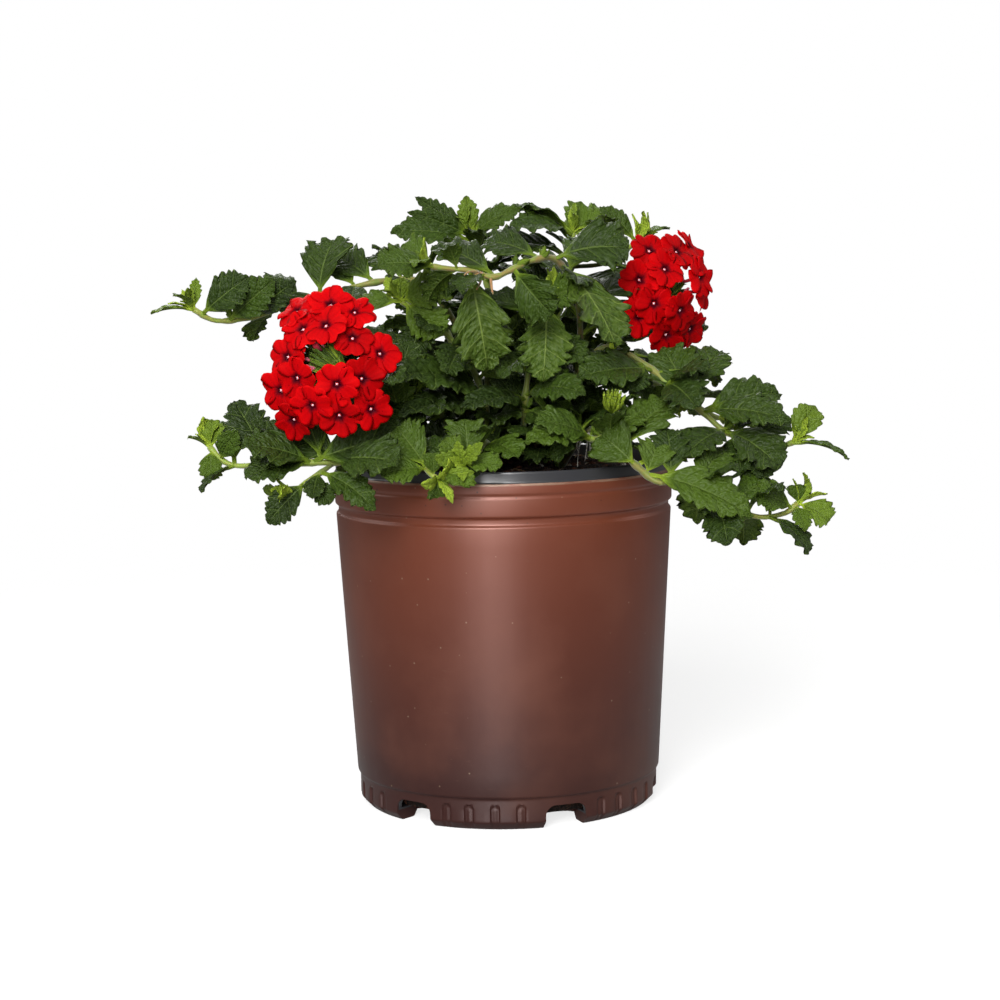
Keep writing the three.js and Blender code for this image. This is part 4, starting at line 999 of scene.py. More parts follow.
def addStem(soup, stem, places, young, dry, rng):
    # A square stem: r (1 + 0.09 cos 4a), thinner towards the tip and swollen where leaves sit.
    route, m = stem["route"], stemMake
    rows = max(6, int(route["length"] / stemSize["spacing"]))
    along = np.linspace(0, 1, rows)
    path = onRoute(route, along)
    gap = (along[:, None] - np.array(places)[None]) * route["length"]
    swell = 1 + m["node"] * np.exp(-(gap / m["nodeHalf"]) ** 2).max(axis=1)
    radii = (stem["root"] + (stemSize["tip"] - stem["root"]) * along) * swell
    radii = radii * (1 + m["uneven"] * np.sin(along * route["length"] * 0.9 + rng.uniform(0, 6)))
    age = np.clip(young * (along - 0.25) / 0.6, 0, 1)
    look = together(rng.uniform(0.3, 0.9), age, dry, along)
    addTube(soup, path, radii, look, stemSize["ring"], 4, stemSize["rib"], kind=1)
    side, up = pathFrames(path)[1:]
    pick = rng.integers(1, rows - 1, int(m["hairs"] * route["length"]))
    a = rng.uniform(0, 2 * np.pi, len(pick))[:, None]
    out = np.cos(a) * side[pick] + np.sin(a) * up[pick]
    step = rng.uniform(0, 1, len(pick))[:, None]
    roots = path[pick] + (path[pick + 1] - path[pick]) * step + out * radii[pick][:, None] * 0.9
    ways = unit(out + 0.35 * rng.normal(size=out.shape)) * rng.uniform(*m["hairLength"], len(pick))[:, None]
    addSpikes(soup, roots, ways, m["hairRadius"], (0.9, 0.8, 0, 0), kind=1)


# ---- calyces: narrow ribbed green tubes ending in five teeth ----
calyxMake = {
    "foot": 0.75, "belly": 1.25, "mouth": 1.45, "ring": 10, "ribs": 5, "ribDepth": 0.12, "tooth": 1.7,
    "toothHalf": 0.5,
}


def addCalyx(soup, path, scale, look, rng, closed=0.0):
    # the tube swells from its foot to its mouth and closes by closed, with five spikes round the mouth
    m = calyxMake
    s = np.linspace(0, 1, len(path))
    radii = m["foot"] + (m["belly"] - m["foot"]) * np.sin(s * np.pi / 2) ** 1.2
    radii = radii + (m["mouth"] - m["belly"]) * s ** 4 - closed * m["mouth"] * 0.75 * s ** 5
    addTube(soup, path, radii * scale, look, m["ring"], m["ribs"], m["ribDepth"])
    tangent, side, up = pathFrames(path)
    a = (np.arange(5) * 2 * np.pi / 5)[:, None]
    out = np.cos(a) * side[-1] + np.sin(a) * up[-1]
    roots = path[-1] + out * radii[-1] * scale * 0.85 - tangent[-1] * 0.4 * scale
    ways = unit(tangent[-1] + out * (0.35 - 0.6 * closed)) * m["tooth"] * scale
    ways = ways * rng.uniform(0.8, 1.2, (5, 1))
    addSpikes(soup, roots, ways, m["toothHalf"] * scale, look)


# ---- florets ----
floretMake = {
    "reach": 9.3, "throat": 0.8, "half": 5.5, "foot": 1.0, "notch": 0.15, "notchHalf": 0.25, "corner": 0.2,
    "rows": 9, "columns": 9, "skin": 0.16, "cup": 0.8, "droop": 1.3, "wave": 0.55, "sink": 1.4,
    "overlap": 0.4, "tube": 0.85, "tubeFoot": 0.6, "eye": 0.55,
}
headMake = {
    "dome": 46, "layerStep": 1.25, "overlap": 17, "lean": 36, "tilt": 4.2, "size": (0.94, 1.05), "knee": 9,
}


def floretPlaces(bloom):
    # The outermost florets lie lowest: each takes the lowest layer that no floret it overlaps has taken.
    places = []
    for x, y in sorted(bloom["florets"], key=lambda place: -math.hypot(*place)):
        used = [other[2] for other in places if math.hypot(other[0] - x, other[1] - y) < headMake["overlap"]]
        heights = [k * headMake["layerStep"] for k in range(len(used) + 1)]
        spin = 2 * math.pi * solidNoise(len(places), bloom["seed"])
        places.append([x, y, next(height for height in heights if height not in used), spin])
    return places


def addFloret(soup, centre, normal, spin, size, rng):
    # Five petals, each a grid of rows from the throat to its notched end. Radius runs from throat to
    # reach (1 - notch exp(-(w / notchHalf)^2)) (1 - corner w^4), and the width opens as sin(pi s / 2).
    m = floretMake
    s = np.linspace(0, 1, m["rows"])[:, None]
    top = np.linspace(1, -1, m["columns"])
    w = np.concatenate([top, top[-2:0:-1]])
    face = np.where(np.arange(len(w)) < m["columns"], 1, -1) * (np.abs(w) < 1)
    end = m["reach"] * size * (1 - m["notch"] * np.exp(-(w / m["notchHalf"]) ** 2))
    end = end * (1 - m["corner"] * w ** 4)
    along = m["throat"] + (end - m["throat"]) * s
    half = m["foot"] + (m["half"] * size - m["foot"]) * np.sin(np.pi / 2 * s ** 0.9) ** 0.9
    across = half * w
    side = unit(np.cross(normal, [0.2, 0.3, 0.93]))
    other = np.cross(normal, side)
    tone = rng.uniform(0, 0.75)
    for k in range(5):
        a = spin + k * 2 * math.pi / 5 + rng.uniform(-0.06, 0.06)
        out = math.cos(a) * side + math.sin(a) * other
        sidewise = np.cross(normal, out)
        rise = m["cup"] * w ** 2 * s - m["droop"] * rng.uniform(-0.3, 1.6) * s ** 2
        rise = rise + rng.uniform(-0.3, 0.5) * s
        rise = rise + m["wave"] * np.sin(w * 3 + rng.uniform(0, 6)) * s ** 2
        rise = rise - m["sink"] * np.exp(-(along / 1.5) ** 2)
        rise = rise + m["overlap"] * w * s
        rise = rise + face * m["skin"] * (1 - np.abs(w) ** 3) * (1 - 0.6 * s)
        points = centre + along[..., None] * out + across[..., None] * sidewise + rise[..., None] * normal
        uv = together((w + 1) / 2, s)
        look = together(tone + rng.uniform(0, 0.25), 0, 0, s)
        addSkins(soup, points, uv, look)
    eye = centre - normal * np.array([1.3, 1.0, 0.75])[:, None]
    addTube(soup, eye, np.array([0.4, m["eye"], 0.3]), (0.6, 1, 0, 0), 8)


heartMake = {
    "disc": 17, "sunk": (5, 9), "count": 60, "fan": 10.5, "layers": 5, "rootDepth": 5.5,
    "young": (0.1, 0.65), "tubeEach": 4, "budAt": 3,
}


def addHead(petals, greens, bloom, rng):
    # Florets stand on a dome, at layer - r^2 / (2 dome) over the head's top, and lean out by r / lean.
    m, h = floretMake, headMake
    top, axis, side, up = headAxes(bloom)
    foot = top - axis * (stemSize["stalkDepth"] - 3)
    for x, y, layer, spin in floretPlaces(bloom):
        r = math.hypot(x, y)
        out = (x * side + y * up) / r
        normal = unit(axis + out * r / h["lean"] + rng.normal(size=3) * math.radians(h["tilt"]))
        centre = top + x * side + y * up + axis * (layer - r * r / (2 * h["dome"]))
        addFloret(petals, centre, normal, spin, rng.uniform(*h["size"]), rng)
        # the tube bends from the floret's throat in to the stalk, its lower half in a calyx
        root = foot + axis * rng.uniform(0, 6) + out * 1.2
        t = np.linspace(0, 1, 15)[:, None]
        knee = centre - normal * h["knee"]
        path = centre * t ** 2 + 2 * knee * t * (1 - t) + root * (1 - t) ** 2 - normal * 1.0 * t ** 4
        shade = together(0.5, 0, np.clip(1.1 - t[:, 0], 0, 1) * 0.9, 0)
        addTube(petals, path, m["tubeFoot"] + (m["tube"] - m["tubeFoot"]) * t[:, 0], shade, 8)
        look = (rng.uniform(0.3, 0.9), rng.uniform(0.4, 0.8), 0.25, 0)
        addCalyx(greens, path[:9], 1.0, look, rng)
    # calyces whose florets have dropped stand behind the gap, over a disc
    m = heartMake
    for k in range(bloom.get("bare", 0)):
        turn, r = k * math.radians(137.5), m["disc"] * math.sqrt((k + 0.5) / bloom["bare"])
        out = math.cos(turn) * side + math.sin(turn) * up
        tip = top + out * r - axis * rng.uniform(*m["sunk"])
        root = foot + axis * 3 + out * 1.5
        path = root + (tip - root) * np.linspace(0, 1, 6)[:, None]
        addCalyx(greens, path, 1.05, (rng.uniform(0, 0.5), rng.uniform(0, 0.3), 0, 0), rng, closed=0.5)
    # the heart: a brush of closed calyces that lies over in the head's gap and fans out to its tip
    start, end = (x * side + y * up for x, y in bloom["brush"])
    across = unit(np.cross(axis, end - start))
    for k in range(m["count"]):
        fan, depth = rng.uniform(-1, 1), rng.uniform(0, 1)
        root = top + start - axis * m["rootDepth"] + across * fan
        tip = top + end + across * fan * m["fan"] - axis * (m["layers"] * depth + 2 * fan ** 2)
        tip = tip + (root - tip) * (0.3 * fan ** 2 + rng.uniform(0, 0.2))
        t = np.linspace(0, 1, 9)[:, None]
        path = root + (tip - root) * t + (axis * 1.6 + across * fan) * np.sin(t * np.pi)
        look = (rng.uniform(0.1, 0.9), rng.uniform(*m["young"]), 0, 0)
        addCalyx(greens, path, rng.uniform(0.55, 0.7), look, rng, closed=rng.uniform(0.3, 0.8))
        if k % m["tubeEach"] == 1:
            tube = tip + unit(tip - root) * np.array([-1.0, 1.2, 2.6, 3.8, 4.4])[:, None]
            shade = (0.5, 0.35, rng.uniform(0.5, 1), 0)
            addTube(petals, tube, np.array([0.35, 0.45, 0.5, 0.7, 0.3]), shade, 8)
        if k == m["budAt"]:
            bud = tip - across * 1.5 + unit(tip - root) * np.array([-1.0, 0.6, 1.8, 3.0, 3.8])[:, None]
            addTube(petals, bud, np.array([0.5, 0.9, 1.3, 1.2, 0.3]), (0, 0, 0.2, 0), 10)


# ---- the shoots: stems, leaves, growing tips, hearts and buds, one piece for each solid shoot ----
shootMake = {
    "tuftLength": (12, 16), "tuftLeaves": 8, "sideTuft": (4.5, 8), "sideTuftShare": 0.45,
    "sideTuftYoung": 0.55, "pairGap": 12, "pairFrom": 17, "pairTo": 9, "clearOf": 4.5,
    "pairLength": (19, 32), "pairWidth": (0.6, 0.72), "pairRise": (-35, 60),
    "rimRadius": 84, "rimHeight": 156, "boxGap": 3, "headGap": 37, "headBack": 12,
    "fresh": {"front": 0.3, "lower_right": 0.32, "front_right": 0.25, "top_right": 0.05},
    "pairSize": {
        "far_1": 1.15, "far_2": 1.15, "far_3": 1.15, "far_4": 1.15, "far_5": 1.15, "tall_1": 1.1,
        "tall_2": 1.1, "top_left": 1.1, "top_right": 1.1, "right_shoot": 1.2, "lower_right": 1.15,
        "lower_left": 1.1, "front": 0.8,
    },
    "dry": {"top_runner": 0.6, "left_runner": 0.35, "lower_right": 0.3, "right_shoot": 0.25}, "plain": 0.1,
}


# leaves that only fill the crown: along, heading, rise, length, width, roll
fillLeaves = {
    "right_shoot": [
        [0.42, -10, -40, 34, 23, 20], [0.52, 60, -20, 36, 23, 25], [0.60, 30, -10, 34, 23, 10],
        [0.64, -70, -15, 34, 23, 20], [0.68, 40, 35, 34, 22, 30], [0.90, -80, -30, 26, 17, 10],
    ],
    "lower_right": [[0.44, 35, 35, 34, 24, 20], [0.70, 60, 35, 28, 19, 35], [0.80, 30, 20, 24, 15, 30]],
    "lower_left": [
        [0.44, 120, 50, 40, 28, -20], [0.50, 170, 40, 46, 30, -30], [0.56, 100, 60, 42, 28, 0],
        [0.66, 140, 55, 36, 24, -15], [0.69, 8, 14, 42, 28, 55], [0.60, 165, 25, 34, 25, -50],
    ],
    "top_right": [
        [0.75, 170, 25, 36, 23, -15], [0.62, -110, 30, 36, 24, 0], [0.90, -165, 12, 36, 22, -20],
        [0.55, 150, 30, 38, 25, 0], [0.84, -60, 20, 32, 22, 20], [0.97, 172, 30, 32, 20, -10],
        [0.80, -35, -2, 38, 26, 10],
    ],
    "top_left": [
        [0.85, 0, 18, 36, 23, 15], [0.70, -20, 25, 36, 24, 10], [0.60, -90, 25, 36, 24, 0],
        [0.92, -80, 20, 30, 20, 0], [0.66, 175, 25, 36, 24, -10], [0.97, 5, 32, 30, 19, 10],
    ],
    "left_bloom": [[0.40, 175, 5, 42, 26, -35], [0.52, 150, 15, 36, 24, -25], [0.62, 60, 30, 34, 22, 30]],
    "top_runner": [
        [0.36, -60, 10, 34, 24, 10], [0.44, 20, 25, 32, 22, 20], [0.50, 155, 30, 38, 25, -15],
        [0.58, 120, 20, 34, 23, 0], [0.62, 60, 25, 32, 22, 15], [0.52, 20, 14, 34, 25, 15],
    ],
    "inner_right": [
        [0.36, -80, 0, 34, 24, 5], [0.42, -20, 15, 32, 22, 20], [0.85, 90, 20, 36, 24, 0],
        [0.92, 165, 14, 33, 23, -20],
    ],
    "inner_left": [[0.34, -80, 5, 34, 24, -5], [0.22, 152, 6, 42, 28, -45]],
}


# short roots that hang from a runner's nodes, and a single round flower bud on its stalk: from, to
smallParts = {
    "airRoots": {"top_runner": [
        [[-9, -62, 241], [-15, -68, 240]], [[-9, -62, 241], [-14, -68, 236]],
        [[-8, -62, 241], [-10, -69, 234]], [[-4, -61, 240], [-3, -67, 232]],
        [[-10, -62, 241], [-11, -68, 237]],
    ]},
    "roundBud": {"right_shoot": [[[50, -35, 207], [48, -47, 209]]]},
}


def addPairs(soup, route, places, size, rng):
    # Opposite leaves fill the stem between the solid's leaves, each pair a quarter turn on from the last.
    # A leaf points along cos(a) side + sin(a) up + 0.4 tangent of the stem, and stays clear of the rim.
    m = shootMake
    marks = np.arange(m["pairFrom"], route["length"] - m["pairTo"], m["pairGap"])
    marks = marks + rng.uniform(-2, 2, len(marks))
    step = 2 / route["length"]
    for k, mark in enumerate(marks):
        along = mark / route["length"]
        if np.abs(np.array(places) - along).min() * route["length"] < m["clearOf"]:
            continue
        base = onRoute(route, along)
        tangent = unit(onRoute(route, along + step) - onRoute(route, along - step))
        side = unit(np.cross(tangent, [0.2, 0.1, 1]))
        up = np.cross(side, tangent)
        for half in (0, 1):
            a = math.pi * (k / 2 + half) + rng.uniform(-0.4, 0.4) + 0.5
            way = unit(math.cos(a) * side + math.sin(a) * up + 0.4 * tangent + [0, 0, 0.1])
            length = rng.uniform(*m["pairLength"]) * (1 - 0.25 * along) * size
            heading = math.degrees(math.atan2(way[1], way[0]))
            rise = np.clip(math.degrees(math.asin(way[2])), *m["pairRise"])
            share, roll = rng.uniform(*m["pairWidth"]), rng.uniform(-25, 25)
            draw = rng.integers(1 << 30)
            if isFree(base, heading, rise, length):
                addLeaf(soup, base, heading, rise, length, length * share, roll, np.random.default_rng(draw),
                        young=0.1 * share, grid="inner")


def isFree(base, heading, rise, length):
    # a leaf stays over the rim, inside the whole solid's box and out of the flower heads
    axis = leafAxes(heading, rise)[0]
    spots = base + axis * length * np.array([0.25, 0.5, 0.75, 1])[:, None]
    m = shootMake
    if (np.hypot(spots[:, 0], spots[:, 1]) < m["rimRadius"])[spots[:, 2] < m["rimHeight"]].any():
        return False
    low, high = np.array(cadBox[0]) / mm + m["boxGap"], np.array(cadBox[1]) / mm - m["boxGap"]
    if (spots < low).any() or (spots > high).any():
        return False
    for shoot in shoots.values():
        if "bloom" in shoot:
            top, axis = headAxes(shoot["bloom"])[:2]
            gap = spots - top
            ahead = gap @ axis
            off = np.linalg.norm(gap - ahead[:, None] * axis, axis=1)
            if ((ahead > -m["headBack"]) & (off < m["headGap"])).any():
                return False
    return True


def makeShoot(name, shoot, seed, leafMat, stemMat, petalMat):
    # Each leaf starts at its share of the stem's route, carries the length and bend of its solid leaf, and is
    # the younger the nearer it sits to the tip.
    m = shootMake
    rng = np.random.default_rng(1000 + seed)
    greens, petals = newSoup(), newSoup()
    corners = cornersOf("shoot_" + name)
    stems = stemsOf(shoot)
    for stem in stems:
        places = sorted({leaf[0] for leaf in stem["leaves"]})
        addStem(greens, stem, places, 0.9, m["dry"].get(name, m["plain"]), rng)
        fill = fillLeaves.get(name, []) if stem is stems[0] else []
        for leaf in fill + stem["leaves"]:
            along, heading, rise, length, width, roll = leaf[:6]
            bent = chosenBend(corners, onSteps(stem["route"], along), leaf)
            share, turn, lift = (1, 0, 0) if leaf in fill else bent
            length, width = length * share, width * share
            young = np.clip((along - 0.93) / 0.06, 0, 1) * np.clip((34 - length) / 16, 0.1, 1)
            young = young * rng.uniform(0.15, 0.5) + 0.05 * rng.uniform(0, 1)
            young = max(young, m["fresh"].get(name, 0) * rng.uniform(0.5, 1))
            base = onRoute(stem["route"], along)
            addLeaf(greens, base, heading + turn, rise + lift, length, width, roll, rng, young=young,
                    flipped=len(leaf) > 6)
        for along in places:
            if 0.3 < along < 0.97 and rng.uniform() < m["sideTuftShare"]:
                way = unit(rng.normal(size=3) * [1, 1, 0.3] + [0, 0, 0.9])
                size = rng.uniform(*m["sideTuft"])
                base = onRoute(stem["route"], along)
                addTuft(greens, base, way, size, rng, bright=m["sideTuftYoung"])
        addPairs(greens, stem["route"], places, m["pairSize"].get(name, 1), rng)
        if "bloom" not in shoot and "buds" not in shoot:
            tip = onRoute(stem["route"], 1.0)
            way = unit(unit(tip - onRoute(stem["route"], 0.95)) + [0, 0, 0.35])
            size = rng.uniform(*m["tuftLength"])
            addTuft(greens, tip, way, size, rng, count=m["tuftLeaves"], grid="tip")
    if "bloom" in shoot:
        addHead(petals, greens, shoot["bloom"], rng)
        makePiece("florets_" + name + "_dressed", petals, [petalMat], ["florets_" + name])
    if "buds" in shoot:
        addBudHead(greens, shoot["buds"], rng)
    for first, last in smallParts["airRoots"].get(name, []):
        t = np.linspace(0, 1, 8)[:, None]
        path = np.array(first) + (np.array(last) - first) * t + rng.normal(size=3) * 0.8 * np.sin(t * np.pi)
        addTube(greens, path, 0.8 - 0.5 * t[:, 0], (1, 0, 1, 0), 6, kind=1)
    for first, last in smallParts["roundBud"].get(name, []):
        t = np.linspace(0, 1, 12)
        path = np.array(first) + (np.array(last) - first) * t[:, None]
        ball = 0.45 + 1.3 * np.clip(1 - ((t - 0.78) / 0.22) ** 2, 0, 1) ** 0.5
        addTube(greens, path, ball, (0.9, 1, 0, 0), 12)
    makePiece("shoot_" + name + "_dressed", greens, [leafMat, stemMat], ["shoot_" + name])


budMake = {"count": 26, "spread": 1.15, "young": (0.9, 1)}


def addBudHead(soup, buds, rng):
    # a closed flower head: pale narrow calyces fanned over a short cone
    top, axis, side, up = headAxes(buds)
    root = top - axis * buds["length"] * 1.5
    for k in range(budMake["count"]):
        turn, spread = k * math.radians(137.5), math.sqrt((k + 0.5) / budMake["count"])
        out = math.cos(turn) * side + math.sin(turn) * up
        tip = top + out * buds["radius"] * budMake["spread"] * spread - axis * 2.2 * spread ** 2
        t = np.linspace(0, 1, 6)[:, None]
        low = root + axis * 3 * (1 - spread)
        path = low + (tip - low) * t + out * 1.2 * np.sin(t * np.pi) * spread
        look = (rng.uniform(0.6, 1), rng.uniform(*budMake["young"]), 0, 0)
        addCalyx(soup, path, rng.uniform(0.5, 0.62), look, rng, closed=rng.uniform(0.6, 0.95))


# ---- pot ----
potMake = {
    "height": potHeight, "lipRadius": 76.2, "lipWall": 2.1, "edge": 1,
    "collarRadius": 77, "collarLean": 0.3, "collarTop": 152, "collarBottom": 138,
    "lineTop": 147.8, "lineHeight": 2.2, "lineDepth": 0.5, "lineSlope": 0.7, "lipRound": 2.6, "lipFlare": 0.8,
    "grooveRadius": 75.2, "grooveBottom": 133.4, "bodyTopRadius": 76.3, "bodyFootRadius": 69.4,
    "footHeight": 14, "footRadius": 68.3, "footCorner": 3.5, "wall": 1.7, "floor": 5.5, "floorRadius": 65.4,
    "padRadius": 34, "channelInner": 37, "channelOuter": 54, "ringInner": 57, "channelHeight": 4,
    "sections": 6, "notchWidth": 19, "notchHeight": 10.5, "notchAngle": 21.5, "archBend": 4.5,
    "fluteAngles": (-23.7, -15, -5.2, 4.4), "fluteWidth": 4.6, "fluteHeight": 11.5, "fluteDepth": 0.85,
    "fluteRib": 0.45, "ribHalf": 0.7, "round": 0.55, "plainColumns": 150, "fluteColumns": 10,
    "footRow": 0.6, "wallRow": 9, "wander": (0.12, 0.08), "softer": 32,
}


def potOutline():
    # the solid's own outline with each corner rounded: half-way points carried 0.55 mm along both edges
    p = potMake
    lineFoot, lineSide = p["lineTop"] - p["lineHeight"], p["lineSlope"]
    lineRadius = p["collarRadius"] - p["lineDepth"]
    sharp = np.array([
        [0, 0], [p["padRadius"], 0], [p["channelInner"], p["channelHeight"]],
        [p["channelOuter"], p["channelHeight"]], [p["ringInner"], 0], [p["footRadius"] - p["footCorner"], 0],
        [p["footRadius"], p["footCorner"]], [p["footRadius"], p["footHeight"]],
        [p["bodyFootRadius"], p["footHeight"] + p["edge"]], [p["bodyTopRadius"], p["grooveBottom"]],
        [p["grooveRadius"], p["grooveBottom"] + p["edge"]],
        [p["grooveRadius"], p["collarBottom"] - p["edge"]],
        [p["collarRadius"] - p["collarLean"], p["collarBottom"]],
        [p["collarRadius"] - p["collarLean"] / 2, lineFoot],
        [lineRadius, lineFoot + lineSide], [lineRadius, p["lineTop"] - lineSide],
        [p["collarRadius"], p["lineTop"]], [p["collarRadius"], p["collarTop"]],
        [p["lipRadius"], p["collarTop"] + p["edge"] / 2], [p["lipRadius"], p["height"]],
        [p["lipRadius"] - p["lipWall"] - p["lipFlare"], p["height"] - p["edge"]],
        [p["grooveRadius"] - p["wall"], p["grooveBottom"]], [p["floorRadius"], p["floor"]], [0, p["floor"]],
    ])
    outline = [sharp[:1]]
    for before, corner, after in zip(sharp[:-2], sharp[1:-1], sharp[2:]):
        back, ahead = unit(before - corner), unit(after - corner)
        wide = p["lipRound"] if corner[1] == p["height"] else p["round"]
        cut = min(wide, 0.6 * np.linalg.norm(before - corner), 0.45 * np.linalg.norm(after - corner))
        t = np.linspace(0, 1, 7 if wide > p["round"] else 3)[:, None]
        low, high = corner + back * cut, corner + ahead * cut
        outline.append(low * (1 - t) ** 2 + 2 * corner * t * (1 - t) + high * t ** 2)
    outline.append(sharp[-1:])
    outline = np.concatenate(outline)
    # long straight stretches get rows of their own, closer in the foot band that carries the flutes
    rows = [outline[:1]]
    for low, high in zip(outline[:-1], outline[1:]):
        inFoot = low[0] > p["floorRadius"] + 2 and max(low[1], high[1]) <= p["footHeight"]
        pieces = max(1, int(np.linalg.norm(high - low) / p["footRow" if inFoot else "wallRow"]))
        rows.append(low + (high - low) * (np.arange(1, pieces + 1) / pieces)[:, None])
    return np.concatenate(rows)


def makePot(material):
    # Radius and height come from the outline, angle from columns that crowd where the flutes are. A flute
    # sinks the foot band by depth inside a stadium of its width and height, with a rib down its middle.
    # The notches are then cut out of it.
    p = potMake
    outline = potOutline()
    turns = [k * 360 / p["sections"] for k in range(p["sections"])]
    flutes = np.radians([angle + turn for turn in turns for angle in p["fluteAngles"]])
    halfAngle = p["fluteWidth"] / 2 / p["footRadius"]
    local = np.linspace(-1.25, 1.25, p["fluteColumns"]) * halfAngle
    plain = np.linspace(0, 2 * np.pi, p["plainColumns"], endpoint=False)
    gap = np.abs((plain[:, None] - flutes[None] + np.pi) % (2 * np.pi) - np.pi).min(axis=1)
    close = (flutes[:, None] + local).ravel() % (2 * np.pi)
    angles = np.sort(np.concatenate([plain[gap > 1.35 * halfAngle], close]))
    radius = np.broadcast_to(outline[:, :1], (len(outline), len(angles))).copy()
    height = outline[:, 1:]
    signed = (angles[:, None] - flutes[None] + np.pi) % (2 * np.pi) - np.pi
    nearest = np.take_along_axis(signed, np.abs(signed).argmin(axis=1)[:, None], axis=1)[:, 0]
    off = nearest * p["footRadius"]
    straight = p["fluteHeight"] - p["fluteWidth"] / 2
    away = np.hypot(off, np.clip(height - straight, 0, None))
    inside = np.clip((p["fluteWidth"] / 2 - away) / 0.5, 0, 1)
    rib = p["fluteRib"] * np.clip(1 - np.abs(off) / p["ribHalf"], 0, 1) * (height < straight)
    onFoot = (outline[:, :1] > p["floorRadius"] + 1.5) & (height <= p["footHeight"] - 0.5)
    radius -= np.where(onFoot, inside * p["fluteDepth"] - inside * rib, 0)
    # a moulded wall is never quite round: a few tenths of a millimetre of slow wander
    slow, quick = p["wander"]
    wander = slow * np.sin(3 * angles + 0.4) + quick * np.sin(5 * angles + height / 40)
    radius += wander * np.clip(height / 60, 0, 1) * (outline[:, :1] > 50)
    points = together(radius * np.sin(angles), -radius * np.cos(angles), height)
    rows, columns = points.shape[:2]
    bottom, top = points[0, 0].copy(), points[-1, 0].copy()
    verts = np.concatenate([[bottom], points[1:-1].reshape(-1, 3), [top]]) * mm
    index = 1 + np.arange((rows - 2) * columns).reshape(rows - 2, columns)
    low = np.stack([np.zeros(columns, int), np.roll(index[0], -1), index[0]], axis=-1)
    high = np.stack([np.full(columns, len(verts) - 1), index[-1], np.roll(index[-1], -1)], axis=-1)
    mesh = bpy.data.meshes.new("pot_dressed")
    mesh.from_pydata(verts.tolist(), [], ringQuads(index).tolist() + low.tolist() + high.tolist())
    mesh.materials.append(material)
    piece = placeObject("pot_dressed", mesh)
    cutter = notchCutter(material)
    cut = piece.modifiers.new("notches", "BOOLEAN")
    cut.operation, cut.solver, cut.object = "DIFFERENCE", "EXACT", cutter
    graph = bpy.context.evaluated_depsgraph_get()
    piece.data = bpy.data.meshes.new_from_object(piece.evaluated_get(graph))
    piece.modifiers.clear()
    bpy.data.objects.remove(cutter)
    piece.data.name = "pot_dressed"
    smoothBySharpness(piece.data, p["softer"])
    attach(piece, "root")
    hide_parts("pot")
    print("made pot", len(piece.data.polygons), "faces")


def smoothBySharpness(mesh, degrees):
    # shading runs smoothly over every edge that bends by less than the given angle
    mesh.polygons.foreach_set("use_smooth", np.ones(len(mesh.polygons), bool))
    bm = bmesh.new()
    bm.from_mesh(mesh)
    for edge in bm.edges:
        edge.smooth = len(edge.link_faces) == 2 and edge.calc_face_angle(0) < math.radians(degrees)
    bm.to_mesh(mesh)
    bm.free()


def notchCutter(material):
    # six blocks with a round-cornered arch as outline: half width w, corners of radius r at the top
    p = potMake
    w, r, h, below = p["notchWidth"] / 2, p["archBend"], p["notchHeight"], 3
    a = np.linspace(0, np.pi / 2, 9)
    right = np.stack([w - r + r * np.cos(a), h - r + r * np.sin(a)], axis=-1)
    left = right[::-1] * [-1, 1]
    outline = np.concatenate([[[w, -below]], right, left, [[-w, -below]]])
    count = len(outline)
    verts, faces = [], []
    for k in range(p["sections"]):
        turn = math.radians(p["notchAngle"] + k * 360 / p["sections"])
        out = np.array([math.sin(turn), -math.cos(turn), 0])
        side = np.array([math.cos(turn), math.sin(turn), 0])
        for reach in (p["ringInner"] - 3, p["bodyFootRadius"] + 3):
            verts += (out * reach + outline[:, :1] * side + outline[:, 1:] * [0, 0, 1]).tolist()
        first = 2 * count * k
        ring = np.arange(count)
        near, far = first + ring, first + count + ring
        faces += np.stack([near, np.roll(near, -1), np.roll(far, -1), far], axis=-1).tolist()
        faces += [near[::-1].tolist(), far.tolist()]
    mesh = bpy.data.meshes.new("notchCutter")
    mesh.from_pydata((np.array(verts) * mm).tolist(), [], faces)
    bm = bmesh.new()
    bm.from_mesh(mesh)
    bmesh.ops.recalc_face_normals(bm, faces=bm.faces)
    bm.to_mesh(mesh)
    bm.free()
    mesh.materials.append(material)
    return placeObject("notchCutter", mesh)


# ---- soil ----
soilMake = {
    "edge": 147.5, "mound": 8, "relief": 0.9, "radius": 73.0, "bottomRadius": 64.8, "floor": 5.8,
    "rings": 46, "columns": 140, "clod": 1.6, "perlite": 130, "perliteSize": (0.7, 1.9),
    "crumbs": 540, "crumbSize": (0.6, 1.8), "fibres": 60, "fibreHalf": (2, 6), "fibreRadius": (0.12, 0.35),
    "airRoots": 5, "rootFrom": (37, -45.5, 171),
}


def soilTop(x, y):
    # a mound, edge + mound (1 - r^2), with the solid's own lumps on it, in millimetres
    r = np.hypot(x, y) / potMake["lipRadius"]
    lumps = np.sin(x * 0.31 + 1.3) * np.cos(y * 0.27 - 0.4) + 0.6 * np.sin(x * 0.13 - y * 0.41)
    return soilMake["edge"] + soilMake["mound"] * (1 - r * r) + soilMake["relief"] * lumps * (1 - r ** 8)


def fineLumps(x, y, rng):
    # a sum of 14 sine ridges with wavelengths from 12 down to 2.5 mm, squared off into clods
    total = 0
    for wave in np.geomspace(12, 2.5, 14):
        a, phase = rng.uniform(0, 2 * np.pi, 2)
        total = total + wave ** 0.6 * np.sin(2 * np.pi * (x * np.cos(a) + y * np.sin(a)) / wave + phase)
    return np.tanh(total / 6)


